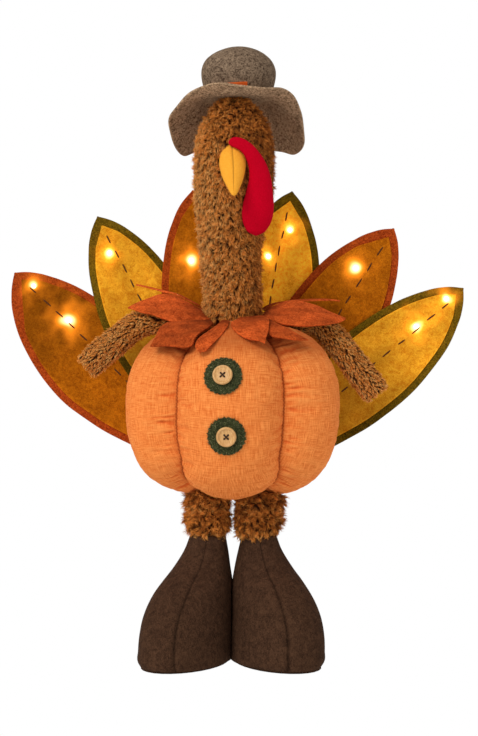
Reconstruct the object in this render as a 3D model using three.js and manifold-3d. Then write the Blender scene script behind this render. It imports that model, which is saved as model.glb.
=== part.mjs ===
// Standing turkey figure for the holidays: a stuffed pumpkin body on fur legs and felt boots,
// a fur neck and head under a felt hat, a collar of felt leaves and a fan of lit felt feathers.
// Millimetres, +Z up, the figure faces -Y. Left and right are as the viewer in front sees them.
import * as THREE from 'three';
import { mergeVertices } from 'three/addons/utils/BufferGeometryUtils.js';
import Module from 'manifold-3d';

const wasm = await Module();
wasm.setup();

// Fits that every sub-part shares
const seatGap = 0.3;
const cutOverrun = 4;
const mergeTolerance = 1e-4;
const figureX = 1;

// Boots
const bootHeight = 143;
const bootFootHalfWidth = 52;
const bootHeelDepth = 41;
const bootTurnDegrees = 30;
const bootLean = -2.4;
const soleThickness = 3;
const bootFoot = soleThickness + seatGap;
const bootHeightShares = [0, 0.034, 0.111, 0.254, 0.387, 0.525, 0.632, 0.744, 0.877, 1];
const bootWidthShares = [0.94, 0.99, 1, 0.99, 0.955, 0.87, 0.775, 0.63, 0.49, 0.39];
const bootMiddleShares = [1.0, 1.01, 1.01, 1.0, 0.965, 0.88, 0.79, 0.665, 0.58, 0.545];
const bootHeelShares = [0.9, 0.97, 1, 1, 0.98, 0.93, 0.87, 0.77, 0.64, 0.5];
const bootSlimShares = [0.66, 0.66, 0.66, 0.67, 0.7, 0.74, 0.8, 0.88, 0.95, 1];

// Pumpkin body
const legShow = 44;
const pumpkinX = 1.9;
const pumpkinHalfWidth = 126.5;
const pumpkinHalfDepth = 106;
const pumpkinHalfHeight = 101.5;
const seamPinch = 8;
const pumpkinLobes = 6;
const pumpkinPower = 2.6;
const lobePower = 0.75;
const pumpkinTurnDegrees = -2.5;
const pumpkinFoot = bootHeight + legShow;
const pumpkinMiddle = pumpkinFoot + pumpkinHalfHeight;
const pumpkinTop = pumpkinMiddle + pumpkinHalfHeight;

// Neck and head: the fur's backing, without the pile
const headRadius = 41;
const neckLength = 254.7;
const neckFoot = pumpkinTop + seatGap;
const headTop = neckFoot + neckLength;
const neckHeightShares = [0, 0.08, 0.31, 0.43, 0.54, 0.66, 0.72, 0.813, 0.878, 0.941, 0.973, 1];
const neckWidthShares = [0.695, 0.705, 0.756, 0.85, 0.976, 1, 1, 0.944, 0.8, 0.56, 0.354, 0];
const neckLeanShares = [0, 0, -0.06, -0.03, 0.03, 0.04, 0.04, 0.05, 0.06, 0.06, 0.06, 0.06];

// Beak
const beakLength = 66;
const beakHalfWidth = 15;
const beakHalfHeight = 13;
const beakSink = 6;
const beakDrop = 70;
const beakSideways = 2;
const beakPitchDegrees = 49.5;
const beakInsetShare = 0.12;
const beakLengthShares = [0, 0.14, 0.3, 0.5, 0.7, 0.86, 0.95, 1];
const beakWidthShares = [0.78, 0.95, 1, 0.86, 0.62, 0.38, 0.23, 0];

// Snood, which hangs over the beak and ends in a bulb
const snoodLength = 112;
const snoodBulbRadius = 16.8;
const snoodRootX = 3;
const snoodDropFromTop = 55;
const snoodStandOff = 5.5;
const snoodFlatShare = 0.6;
const snoodSideShares = [-0.06, 0, 0.06, 0.13, 0.19, 0.23, 0.255, 0.26, 0.25, 0.235, 0.23, 0.23];
const snoodDropShares = [0.0, 0.012, 0.05, 0.13, 0.23, 0.35, 0.48, 0.6, 0.72, 0.84, 0.93, 0.965];
const snoodInShares = [-0.005, 0, -0.01, -0.02, -0.015, -0.01, 0.01, 0.03, 0.05, 0.07, 0.08, 0.08];
const snoodRadiusShares = [0.05, 0.3, 0.39, 0.45, 0.55, 0.65, 0.77, 0.88, 0.98, 0.92, 0.62, 0.1];

// Hat
const crownRadius = 43;
const crownX = 7;
const crownY = 8;
const crownHeight = 71;
const crownSink = 10;
const crownFoot = headTop - crownSink;
const crownHeightShares = [0, 0.15, 0.31, 0.5, 0.7, 0.83, 0.93, 0.98, 1];
const crownWidthShares = [0.86, 0.88, 0.91, 1, 0.965, 0.86, 0.64, 0.36, 0];
const brimReach = 85;
const brimThickness = 2.4;
const brimDrop = 58;
const brimFlarePower = 0.9;
const brimDroopPower = 1.35;
const brimAngleDegrees = [0, 25, 45, 60, 75, 90, 108, 128, 142, 160, 180];
const brimReachShares = [0.7, 0.71, 0.78, 0.79, 0.86, 0.925, 0.945, 1, 0.99, 0.87, 0.83];
const brimDropShares = [-0.148, -0.142, -0.137, -0.1, 0.16, 0.5, 0.8, 1, 0.88, 0.8, 0.78];
const brimSteps = [0, 0.25, 0.5, 0.75, 1];
const bandThickness = 1.5;
const bandWidth = 9.5;
const bandRise = 3;
const bandFromDegrees = -52;
const bandToDegrees = 16;

// Collar leaves
const leafThickness = 1.8;
const leafRise = 3;
const leafReach = 130;
const leafHalfWidth = 20;
const leafCurlShare = 0.16;
const leafBendShare = 0.45;
const leafTwistShare = 0.6;
const leafCupShare = 0.4;
const leafAcrossShares = [-1, -0.5, 0, 0.5, 1];
const leafStepShares = [0, 0.1, 0.22, 0.35, 0.5, 0.64, 0.77, 0.88, 0.96, 1];
const leafWidthShares = [0.34, 0.44, 0.6, 0.8, 0.97, 1, 0.85, 0.55, 0.24, 0.06];

// Arms
const armRadius = 11.5;
const armLength = 112;
const armStepShares = [0.12, 0.25, 0.4, 0.55, 0.7, 0.82, 0.91, 0.97, 1, 0.985];
const armSwellShares = [1, 1, 1.01, 1.02, 1.04, 1.05, 1.03, 0.98, 0.8, 0.25];

// Buttons on the front lobe
const patchRadius = 20.5;
const patchScallop = 1.1;
const patchScallops = 24;
const patchThickness = 1.6;
const buttonRadius = 11.6;
const buttonThickness = 4;
const buttonDish = 1.2;
const buttonRim = 2.2;
const buttonHoleRadius = 1.3;
const buttonHoleSpacing = 2.7;

// Feather fan
const fanX = 1.3;
const fanDrop = 97.5;
const fanHeight = pumpkinMiddle - fanDrop;
const fanStandOff = 2;
const featherTip = 369;
const featherRoot = 74.3;
const featherHalfWidth = 60.3;
const featherBorder = 9;
const frontFelt = 1.5;
const backFelt = 2.3;
const featherPitch = 4.8;
const featherAngles = [136.1, 117, 98, 78.8, 58.1, 40.7];
const featherFromTipShares = [0, 0.035, 0.08, 0.144, 0.198, 0.3, 0.4, 0.5, 0.6, 0.7, 0.8, 0.9, 1];
const featherWidthShares = [0, 0.19, 0.39, 0.653, 0.776, 0.905, 0.97, 1, 0.985, 0.91, 0.79, 0.64, 0.5];
const spokeRadius = 0.65;
const spokeLength = 202;
const spokePlay = 1.5;
const wireRadius = 0.5;
const dropRadius = 2;
const dropLength = 2.6;
const dropAlongShares = [
  [0.946, 0.783], [0.881, 0.71], [0.761, 0.618], [0.87, 0.77], [0.827, 0.664], [0.938, 0.802],
];
const dropAcrossShares = [
  [-0.08, -0.066], [0.12, 0.16], [0.23, 0.13], [-0.11, 0.22], [0.23, 0.13], [0.066, 0.04],
];

// Tail frame, which carries the fan, and the frame inside the body
const tailBarWidth = 18;
const tailOuterRadius = featherRoot - seatGap;
const tailInnerRadius = tailOuterRadius - tailBarWidth;
const tailFromDegrees = 32;
const tailToDegrees = 145;
const tailSink = 16;
const hipDrop = 36.5;
const hipThickness = 8;
const hipHalfWidth = 47;
const hipHalfDepth = 14;
const postRadius = 5;
const postCover = 95;
const tailArmHalfWidth = 7;

// Legs: an outer tube fixed in the body slides on an inner tube fixed in the boot
const legSpacing = 58.4;
const tubeWall = 1;
const innerTubeRadius = 7.7;
const outerTubeFoot = 62;
const tubeCover = 28;
const innerTubeFoot = 8;
const tubeEndPlay = 2;
const bushHeight = 3.6;
const bushWall = 2.8;
const sleeveRadius = 20;
const sleeveStepShares = [0, 0.1, 0.28, 0.47, 0.6, 0.73, 0.9, 1];
const sleeveBulgeShares = [0.8, 0.97, 1.05, 0.97, 0.84, 1.0, 1.07, 0.86];

// Battery case on the back of the tail frame
const cellRadius = 7.1;
const cellLength = 50;
const cellCapRadius = 2.7;
const cellCapHeight = 1.4;
const cellCount = 3;
const cellPlay = 0.4;
const caseWall = 2;
const switchRoom = 4.4;
const coverThickness = 1.8;
const coverGroove = 1.2;
const switchKnob = 5;
const switchFlange = 1;
const switchRise = 2.4;
const switchPlate = 1.2;
const switchTravel = 4;

// Shapes

const radians = THREE.MathUtils.degToRad;
const roundSides = 24;
const smallSides = 12;

// A closed body from points and triangles, turned so that its faces point out.
function bodyFrom(points, triangles) {
  let volume = 0;
  for (const [a, b, c] of triangles) {
    volume += points[a].dot(points[b].clone().cross(points[c]));
  }
  const faces = volume < 0 ? triangles.map(([a, b, c]) => [a, c, b]) : triangles;
  const mesh = new wasm.Mesh({
    numProp: 3,
    vertProperties: Float32Array.from(points.flatMap((p) => [p.x, p.y, p.z])),
    triVerts: Uint32Array.from(faces.flat()),
  });
  return new wasm.Manifold(mesh);
}

function bodyFromGeometry(geometry) {
  geometry.deleteAttribute('normal');
  geometry.deleteAttribute('uv');
  const merged = mergeVertices(geometry, mergeTolerance);
  const at = merged.getAttribute('position');
  const points = Array.from({ length: at.count }, (_, i) => new THREE.Vector3().fromBufferAttribute(at, i));
  const index = Array.from(merged.getIndex().array);
  const triangles = [];
  for (let i = 0; i < index.length; i += 3) {
    const face = index.slice(i, i + 3);
    if (new Set(face).size === 3) triangles.push(face);
  }
  return bodyFrom(points, triangles);
}

// A closed body through rings of equally many points; a ring of one point closes an end.
function loft(rings) {
  const points = [];
  const starts = rings.map((ring) => points.push(...ring) - ring.length);
  const triangles = [];
  for (let i = 0; i + 1 < rings.length; i += 1) {
    const low = rings[i].length;
    const high = rings[i + 1].length;
    const sides = Math.max(low, high);
    for (let j = 0; j < sides; j += 1) {
      const k = (j + 1) % sides;
      const [a, b] = [starts[i] + (low > 1 ? j : 0), starts[i] + (low > 1 ? k : 0)];
      const [c, d] = [starts[i + 1] + (high > 1 ? j : 0), starts[i + 1] + (high > 1 ? k : 0)];
      if (low > 1) triangles.push([a, b, d]);
      if (high > 1) triangles.push([a, d, c]);
    }
  }
  for (const [ring, start, flip] of [[rings[0], starts[0], true], [rings.at(-1), starts.at(-1), false]]) {
    if (ring.length === 1) continue;
    const middle = ring.reduce((sum, p) => sum.add(p), new THREE.Vector3()).divideScalar(ring.length);
    const centre = points.push(middle) - 1;
    ring.forEach((_, j) => {
      const k = (j + 1) % ring.length;
      triangles.push(flip ? [centre, start + k, start + j] : [centre, start + j, start + k]);
    });
  }
  return bodyFrom(points, triangles);
}

// A sheet of even thickness over a grid of points; a closed sheet runs round into itself.
function sheet(rows, thickness, closed) {
  const count = rows[0].length;
  const at = (i, j) => {
    const column = closed ? (j + count) % count : Math.min(Math.max(j, 0), count - 1);
    return rows[Math.min(Math.max(i, 0), rows.length - 1)][column];
  };
  const points = [];
  for (const side of [1, -1]) {
    for (let i = 0; i < rows.length; i += 1) {
      for (let j = 0; j < count; j += 1) {
        const along = at(i + 1, j).clone().sub(at(i - 1, j));
        const across = at(i, j + 1).clone().sub(at(i, j - 1));
        const normal = along.cross(across).normalize();
        points.push(at(i, j).clone().addScaledVector(normal, (side * thickness) / 2));
      }
    }
  }
  const back = rows.length * count;
  const triangles = [];
  const quad = (a, b, c, d) => triangles.push([a, b, c], [a, c, d]);
  const columns = closed ? count : count - 1;
  for (let i = 0; i + 1 < rows.length; i += 1) {
    for (let j = 0; j < columns; j += 1) {
      const [a, b] = [i * count + j, i * count + ((j + 1) % count)];
      quad(a, a + count, b + count, b);
      quad(back + a, back + b, back + b + count, back + a + count);
    }
    if (!closed) {
      const [left, right] = [i * count, i * count + count - 1];
      quad(left, back + left, back + left + count, left + count);
      quad(right, right + count, back + right + count, back + right);
    }
  }
  const last = (rows.length - 1) * count;
  for (let j = 0; j < columns; j += 1) {
    const k = (j + 1) % count;
    quad(j, k, back + k, back + j);
    quad(last + j, back + last + j, back + last + k, last + k);
  }
  return bodyFrom(points, triangles);
}

// An ellipse of points about a centre, in the plane of two arms.
function ellipse(centre, across, deep, sides) {
  return Array.from({ length: sides }, (_, j) => {
    const turn = (j / sides) * 2 * Math.PI;
    return centre.clone().addScaledVector(across, Math.cos(turn)).addScaledVector(deep, Math.sin(turn));
  });
}

// A body of revolution about Z from pairs of radius and height.
function turned(profile, sides = roundSides) {
  const geometry = new THREE.LatheGeometry(profile.map(([r, h]) => new THREE.Vector2(r, h)), sides);
  return bodyFromGeometry(geometry.rotateX(Math.PI / 2));
}

function pipe(inner, outer, foot, top, sides = roundSides) {
  return turned([[inner, foot], [outer, foot], [outer, top], [inner, top], [inner, foot]], sides);
}

function column(radius, foot, top, sides = roundSides) {
  return turned([[0, foot], [radius, foot], [radius, top], [0, top]], sides);
}

function box(x0, x1, y0, y1, z0, z1) {
  const geometry = new THREE.BoxGeometry(x1 - x0, y1 - y0, z1 - z0);
  return bodyFromGeometry(geometry.translate((x0 + x1) / 2, (y0 + y1) / 2, (z0 + z1) / 2));
}

function rod(from, to, radius, sides = smallSides) {
  const run = to.clone().sub(from);
  const geometry = new THREE.CylinderGeometry(radius, radius, run.length(), sides);
  const upright = new THREE.Vector3(0, 1, 0);
  geometry.applyQuaternion(new THREE.Quaternion().setFromUnitVectors(upright, run.normalize()));
  const middle = from.clone().add(to).divideScalar(2);
  return bodyFromGeometry(geometry.translate(middle.x, middle.y, middle.z));
}

// A flat outline in X and Z, given a thickness towards +Y.
function plate(points, front, thickness) {
  const shape = new THREE.Shape(points);
  const geometry = new THREE.ExtrudeGeometry(shape, { depth: thickness, bevelEnabled: false });
  return bodyFromGeometry(geometry.rotateX(Math.PI / 2).translate(0, front + thickness, 0));
}

// Linear reading of a table of shares.
function readAt(stations, values, at) {
  let i = 0;
  while (i + 2 < stations.length && stations[i + 1] < at) i += 1;
  const share = (at - stations[i]) / (stations[i + 1] - stations[i]);
  return values[i] + (values[i + 1] - values[i]) * Math.min(Math.max(share, 0), 1);
}

// The figure and its finishes

const figure = new THREE.Group();

const finishes = {
  linen: { color: 0xd5742a, roughness: 0.95, metalness: 0 },
  fur: { color: 0x7a4a22, roughness: 1, metalness: 0 },
  goldFelt: { color: 0xe2a51f, roughness: 0.95, metalness: 0 },
  redFelt: { color: 0xb3241c, roughness: 0.95, metalness: 0 },
  greyFelt: { color: 0x7b7067, roughness: 1, metalness: 0 },
  rustFelt: { color: 0xb4571f, roughness: 1, metalness: 0 },
  greenFelt: { color: 0x5a5d22, roughness: 1, metalness: 0 },
  brownFelt: { color: 0x8a5a22, roughness: 1, metalness: 0 },
  yellowFelt: { color: 0xc9951f, roughness: 1, metalness: 0 },
  bootFelt: { color: 0x3a2418, roughness: 1, metalness: 0 },
  wood: { color: 0xc9a06a, roughness: 0.6, metalness: 0 },
  steel: { color: 0xa8abae, roughness: 0.35, metalness: 1 },
  plastic: { color: 0x2b2b2b, roughness: 0.5, metalness: 0 },
  lamp: { color: 0xffc46b, roughness: 0.3, metalness: 0 },
};

function add(name, body, finish, parent = figure) {
  const source = body.getMesh();
  const geometry = new THREE.BufferGeometry();
  const places = [];
  for (let i = 0; i < source.vertProperties.length; i += source.numProp) {
    places.push(...source.vertProperties.slice(i, i + 3));
  }
  geometry.setAttribute('position', new THREE.Float32BufferAttribute(places, 3));
  geometry.setIndex(Array.from(source.triVerts));
  geometry.computeVertexNormals();
  const mesh = new THREE.Mesh(geometry, new THREE.MeshStandardMaterial(finishes[finish]));
  mesh.name = name;
  parent.add(mesh);
  return mesh;
}

// Pumpkin: six lobes drawn in at their seams

function pumpkinBody() {
  const sides = pumpkinLobes * 8;
  const rows = 20;
  const turn = radians(pumpkinTurnDegrees);
  const power = 2 / pumpkinPower;
  const rings = [];
  for (let i = 0; i <= rows; i += 1) {
    const lift = Math.PI * (i / rows - 1 / 2);
    const spread = Math.max(Math.cos(lift), 0) ** power;
    const rise = Math.sign(lift) * Math.abs(Math.sin(lift)) ** power;
    const height = pumpkinMiddle + pumpkinHalfHeight * rise;
    if (i === 0 || i === rows) {
      rings.push([new THREE.Vector3(pumpkinX, 0, height)]);
      continue;
    }
    rings.push(Array.from({ length: sides }, (_, j) => {
      const round = (j / sides) * 2 * Math.PI;
      const puff = Math.abs(Math.cos((pumpkinLobes / 2) * round)) ** lobePower;
      const width = (pumpkinHalfWidth - seamPinch * (1 - puff)) * spread;
      const depth = (pumpkinHalfDepth - seamPinch * (1 - puff)) * spread;
      const bearing = round + turn;
      return new THREE.Vector3(pumpkinX + width * Math.sin(bearing), -depth * Math.cos(bearing), height);
    }));
  }
  return loft(rings);
}

// Neck and head in one fur cover

function neckBody(grow) {
  const rings = neckHeightShares.map((share, i) => {
    const centre = new THREE.Vector3(neckLeanShares[i] * headRadius, 0, neckFoot + share * neckLength);
    const radius = neckWidthShares[i] * headRadius + grow;
    if (neckWidthShares[i] === 0) {
      return [centre.setZ(centre.z + grow)];
    }
    return ellipse(centre, new THREE.Vector3(radius, 0, 0), new THREE.Vector3(0, radius, 0), roundSides);
  });
  return loft(rings);
}

function beakBody(grow) {
  const pitch = radians(beakPitchDegrees);
  const along = new THREE.Vector3(beakSideways / beakLength, -Math.cos(pitch), -Math.sin(pitch)).normalize();
  const across = new THREE.Vector3(1, 0, 0).addScaledVector(along, -along.x).normalize();
  const deep = across.clone().cross(along);
  const root = new THREE.Vector3(0, beakSink - headRadius, headTop - beakDrop)
    .addScaledVector(along, -beakLength * beakInsetShare);
  const whole = beakLength * (1 + beakInsetShare);
  const rings = beakLengthShares.map((share, i) => {
    const centre = root.clone().addScaledVector(along, share * whole + (share === 1 ? grow : 0));
    const size = beakWidthShares[i];
    if (size === 0) return [centre];
    const wide = across.clone().multiplyScalar(size * beakHalfWidth + grow);
    return ellipse(centre, wide, deep.clone().multiplyScalar(size * beakHalfHeight + grow), roundSides);
  });
  return loft(rings);
}

function snoodBody() {
  const centres = snoodDropShares.map((drop, i) => new THREE.Vector3(
    snoodRootX + snoodSideShares[i] * snoodLength,
    -headRadius - snoodStandOff + snoodInShares[i] * snoodLength,
    headTop - snoodDropFromTop - drop * snoodLength,
  ));
  const last = centres.length - 1;
  const rings = centres.map((centre, i) => {
    const run = centres[Math.min(i + 1, last)].clone().sub(centres[Math.max(i - 1, 0)]).normalize();
    const across = new THREE.Vector3(0, -1, 0).cross(run).normalize();
    const deep = run.clone().cross(across);
    const radius = snoodRadiusShares[i] * snoodBulbRadius;
    deep.multiplyScalar(radius * snoodFlatShare);
    return ellipse(centre, across.multiplyScalar(radius), deep, smallSides);
  });
  return loft(rings);
}

// Hat

function crownBody() {
  return turned(crownHeightShares.map((share, i) => [
    crownWidthShares[i] * crownRadius,
    crownFoot + share * crownHeight,
  ]).toSpliced(0, 0, [0, crownFoot]), roundSides + 4).translate([crownX, crownY, 0]);
}

function brimBody() {
  const sides = 36;
  const inner = crownWidthShares[1] * crownRadius + seatGap + brimThickness / 2;
  const rows = brimSteps.map((step) => Array.from({ length: sides }, (_, j) => {
    const bearing = (j / sides) * 360 - 180;
    const reach = readAt(brimAngleDegrees, brimReachShares, Math.abs(bearing)) * brimReach;
    const drop = readAt(brimAngleDegrees, brimDropShares, Math.abs(bearing)) * brimDrop;
    const radius = inner + (reach - inner) * step ** brimFlarePower;
    const height = headTop - drop * step ** brimDroopPower;
    const turn = radians(bearing);
    return new THREE.Vector3(crownX + radius * Math.sin(turn), crownY - radius * Math.cos(turn), height);
  }));
  return sheet(rows, brimThickness, true);
}

function bandBody() {
  const steps = 10;
  const radius = crownWidthShares[3] * crownRadius + seatGap + bandThickness / 2;
  const turns = Array.from({ length: steps + 1 }, (_, j) => (
    radians(bandFromDegrees + (bandToDegrees - bandFromDegrees) * (j / steps))));
  const rows = [bandRise, bandRise + bandWidth].map((height) => turns.map((turn) => new THREE.Vector3(
    crownX + radius * Math.sin(turn),
    crownY - radius * Math.cos(turn),
    headTop + height,
  )));
  return sheet(rows, bandThickness, false);
}

// Collar: nine felt leaves that spring from under the neck. A leaf's bearing is in degrees about
// the neck, its tip and lift are in shares of the reach, and its width is a share of the width
// that all leaves have. Past its root it turns until it lies across the direction given.

const leaves = [
  {
    bearing: 140, tipShares: [-0.87, 0.45, 0.3], liftShare: 0.2,
    wideShare: 0.75, across: [0, 1, 0],
  },
  {
    bearing: 178, tipShares: [-0.92, -0.04, 0.09], liftShare: 0.12,
    wideShare: 1, across: [0, -0.55, -0.83],
  },
  {
    bearing: 214, tipShares: [-0.6, -0.5, -0.25], liftShare: 0.04,
    wideShare: 1.0, across: [0.68, -0.73, -0.1],
  },
  {
    bearing: 252, tipShares: [-0.27, -0.69, -0.28], liftShare: 0.04,
    wideShare: 0.5, across: [0.85, -0.3, -0.3],
  },
  {
    bearing: 289, tipShares: [0.27, -0.67, -0.25], liftShare: 0.04,
    wideShare: 0.95, across: [0.93, 0.37, 0],
  },
  {
    bearing: 326, tipShares: [0.65, -0.37, -0.18], liftShare: 0.05,
    wideShare: 0.8, across: [0.48, 0.87, 0.1],
  },
  {
    bearing: 3, tipShares: [1, -0.02, -0.01], liftShare: 0.12,
    wideShare: 1, across: [0, -0.6, -0.8],
  },
  {
    bearing: 42, tipShares: [0.985, 0.47, 0.18], liftShare: 0.18,
    wideShare: 0.75, across: [0, 1, 0],
  },
  {
    bearing: 90, tipShares: [0.05, 0.6, 0.2], liftShare: 0.13,
    wideShare: 1, across: [-1, 0, 0],
  },
];

const leafHeight = pumpkinTop + leafRise;

function leafBody({ bearing, tipShares, liftShare, wideShare, across }) {
  const turn = radians(bearing);
  const out = new THREE.Vector3(Math.cos(turn), Math.sin(turn), 0);
  const sideways = new THREE.Vector3(-Math.sin(turn), Math.cos(turn), 0);
  const rootRadius = neckWidthShares[0] * headRadius + 2 * seatGap;
  const root = out.clone().multiplyScalar(rootRadius).setZ(leafHeight);
  const end = new THREE.Vector3(...tipShares).multiplyScalar(leafReach);
  end.z += leafHeight;
  const bend = root.clone().lerp(end, leafBendShare).setZ(leafHeight + liftShare * leafReach);
  const curve = new THREE.QuadraticBezierCurve3(root, bend, end);
  const given = new THREE.Vector3(...across).normalize();
  if (given.dot(sideways) < 0) given.negate();
  const rows = leafStepShares.map((step, i) => {
    const middle = curve.getPoint(step);
    const run = curve.getTangent(step);
    const twist = THREE.MathUtils.smoothstep(step, 0, leafTwistShare);
    const width = sideways.clone().lerp(given, twist).normalize();
    const cup = run.clone().cross(width).normalize();
    const half = leafWidthShares[i] * leafHalfWidth * wideShare;
    return leafAcrossShares.map((side) => middle.clone()
      .addScaledVector(width, side * half)
      .addScaledVector(cup, (side * side - leafCupShare) * half * leafCurlShare * step));
  });
  return sheet(rows, leafThickness, false);
}

// Arms: stuffed fur tubes, round at the shoulder and gathered flat at the end. Each route is
// sideways and up from the shoulder, in shares of the arm's length. A seat is in shares of the
// pumpkin's half sizes, and the arm's radius above it.

const shoulderLean = 1.06;
const shoulderDegrees = [-60, -30, 0];

const arms = [
  {
    name: 'arm_left',
    seatShares: [-0.5763, 0.1226, 0.8888],
    routeShares: [[0, 0], [-0.2, -0.07], [-0.45, -0.205], [-0.862, -0.48]],
  },
  {
    name: 'arm_right',
    seatShares: [0.5858, 0.1321, 0.8844],
    routeShares: [[0, 0], [0.16, -0.005], [0.34, -0.158], [0.806, -0.749]],
  },
];

function armBody(routeShares) {
  const sides = 18;
  const curve = new THREE.CatmullRomCurve3(routeShares.map(([x, z]) => (
    new THREE.Vector3(x, 0, z).multiplyScalar(armLength))));
  const across = new THREE.Vector3(0, 1, 0);
  const start = curve.getTangentAt(0);
  const round = shoulderDegrees.map((lift) => {
    const centre = start.clone().multiplyScalar(Math.sin(radians(lift)) * armRadius);
    const radius = Math.cos(radians(lift)) * armRadius;
    const deep = start.clone().cross(across).multiplyScalar(radius);
    return ellipse(centre, across.clone().multiplyScalar(radius), deep, sides);
  });
  const skin = armStepShares.map((step, i) => {
    const run = curve.getTangentAt(step);
    const radius = armSwellShares[i] * armRadius;
    const deep = run.clone().cross(across).multiplyScalar(radius);
    return ellipse(curve.getPointAt(step), across.clone().multiplyScalar(radius), deep, sides);
  });
  return loft([[start.clone().multiplyScalar(-armRadius)], ...round, ...skin]);
}

// Buttons on scalloped felt patches, flat against the front lobe

const buttonPlaces = [
  { name: 'upper', asideShare: -0.0901, upShare: 0.3842, liftDegrees: 14 },
  { name: 'lower', asideShare: -0.0601, upShare: -0.269, liftDegrees: -8.5 },
];

function patchBody() {
  const steps = patchScallops * 2;
  const points = Array.from({ length: steps }, (_, j) => {
    const turn = (j / steps) * 2 * Math.PI;
    const reach = patchRadius - patchScallop * (j % 2);
    return new THREE.Vector2(reach * Math.cos(turn), reach * Math.sin(turn));
  });
  return plate(points, -patchThickness, patchThickness);
}

function buttonBody() {
  const dish = turned([
    [0, 0], [buttonRadius - buttonRim / 2, 0], [buttonRadius, buttonThickness / 2],
    [buttonRadius - buttonRim / 3, buttonThickness], [buttonRadius - buttonRim, buttonThickness],
    [buttonRadius - 1.5 * buttonRim, buttonThickness - buttonDish], [0, buttonThickness - buttonDish],
  ], roundSides);
  const holes = [[-1, -1], [1, -1], [1, 1], [-1, 1]].map(([x, y]) => (
    column(buttonHoleRadius, -cutOverrun, buttonThickness + cutOverrun, 8)
      .translate([x * buttonHoleSpacing, y * buttonHoleSpacing, 0])));
  return dish.subtract(wasm.Manifold.union(holes)).rotate([90, 0, 0]);
}

// How deep the front lobe lies at a share of the half height above its middle
function lobeDepth(upShare) {
  return pumpkinHalfDepth * (1 - Math.abs(upShare) ** pumpkinPower) ** (1 / pumpkinPower);
}

// Feathers: a front felt on a wider backing felt, with a sprung spoke and the lamp wire between
// them. Each is drawn along +X from the fan's centre, and turned to its place in the fan.

function featherOutline(inset) {
  const long = featherTip - featherRoot;
  const edge = featherFromTipShares.map((share, i) => new THREE.Vector2(
    featherTip - share * long,
    featherWidthShares[i] * featherHalfWidth,
  ));
  const half = edge.map((point, i) => {
    if (inset === 0) return point.clone();
    const run = edge[Math.min(i + 1, edge.length - 1)].clone().sub(edge[Math.max(i - 1, 0)]).normalize();
    if (i === 0) return new THREE.Vector2(point.x + inset / run.y * (run.x < 0 ? -1 : 1), 0);
    const moved = point.clone().add(new THREE.Vector2(-run.y, run.x).multiplyScalar(inset));
    return i === edge.length - 1 ? new THREE.Vector2(point.x, moved.y) : moved;
  }).filter((point, i, all) => i === 0 || point.x < all[0].x);
  const other = half.slice(1).reverse().map((point) => new THREE.Vector2(point.x, -point.y));
  return [...half, ...other];
}

const grooveDepth = 2 * spokeRadius + seatGap;

function dropsOf(i) {
  return dropAlongShares[i].map((along, j) => new THREE.Vector3(
    along * featherTip,
    frontFelt + seatGap + spokeRadius,
    dropAcrossShares[i][j] * featherHalfWidth,
  ));
}

function wireRoute(i) {
  const [far, near] = dropsOf(i);
  return [new THREE.Vector3(featherRoot + seatGap, near.y, near.z), near, far];
}

function lampsBody(i) {
  const route = wireRoute(i);
  const wires = route.slice(1).map((point, j) => rod(route[j], point, wireRadius, 6));
  const drops = dropsOf(i).map((drop) => (
    rod(drop.clone().setY(drop.y + wireRadius), drop.clone().setY(-dropLength), dropRadius, 8)));
  return wasm.Manifold.union([...wires, ...drops]);
}

function featherFront(i) {
  const holes = dropsOf(i).map((drop) => (
    rod(drop.clone().setY(frontFelt + cutOverrun), drop.clone().setY(-cutOverrun), dropRadius + seatGap)));
  return plate(featherOutline(featherBorder), 0, frontFelt).subtract(wasm.Manifold.union(holes));
}

function featherBack(i) {
  const front = frontFelt + seatGap;
  const floor = front + grooveDepth;
  const half = spokeRadius + seatGap;
  const spokeEnd = tailOuterRadius + spokeLength + spokePlay;
  const channel = box(featherRoot - cutOverrun, spokeEnd, front - cutOverrun, floor, -half, half);
  const route = wireRoute(i);
  const runs = route.slice(1).map((point, j) => {
    const run = point.clone().sub(route[j]);
    const turn = Math.atan2(run.z, run.x);
    const long = run.length() + wireRadius;
    return box(-cutOverrun * (j === 0), long, front - cutOverrun, floor, -half, half)
      .rotate([0, -THREE.MathUtils.radToDeg(turn), 0])
      .translate([route[j].x, 0, route[j].z]);
  });
  const seats = dropsOf(i).map((drop) => (
    rod(drop.clone().setY(front - cutOverrun), drop.clone().setY(floor), dropRadius + seatGap)));
  const felt = plate(featherOutline(0), front, backFelt);
  return felt.subtract(wasm.Manifold.union([channel, ...runs, ...seats]));
}

// The fan's first feather, on the viewer's left, is the hindmost
function featherDepth(i) {
  return pumpkinHalfDepth + fanStandOff + featherPitch * (featherAngles.length - 1 - i);
}

const tailFrontDepth = pumpkinHalfDepth + fanStandOff - tailSink;
const tailBackDepth = featherDepth(0) + frontFelt + seatGap + backFelt;

function tailBar(grow) {
  const spread = grow / tailInnerRadius;
  const from = radians(tailFromDegrees) - spread;
  const to = radians(tailToDegrees) + spread;
  const steps = 16;
  const arc = (radius, a, b) => Array.from({ length: steps + 1 }, (_, j) => {
    const turn = a + (b - a) * (j / steps);
    return new THREE.Vector2(radius * Math.cos(turn), radius * Math.sin(turn));
  });
  const points = [...arc(tailOuterRadius + grow, from, to), ...arc(tailInnerRadius - grow, to, from)];
  return plate(points, tailFrontDepth - grow, tailBackDepth - tailFrontDepth + 2 * grow);
}

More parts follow.
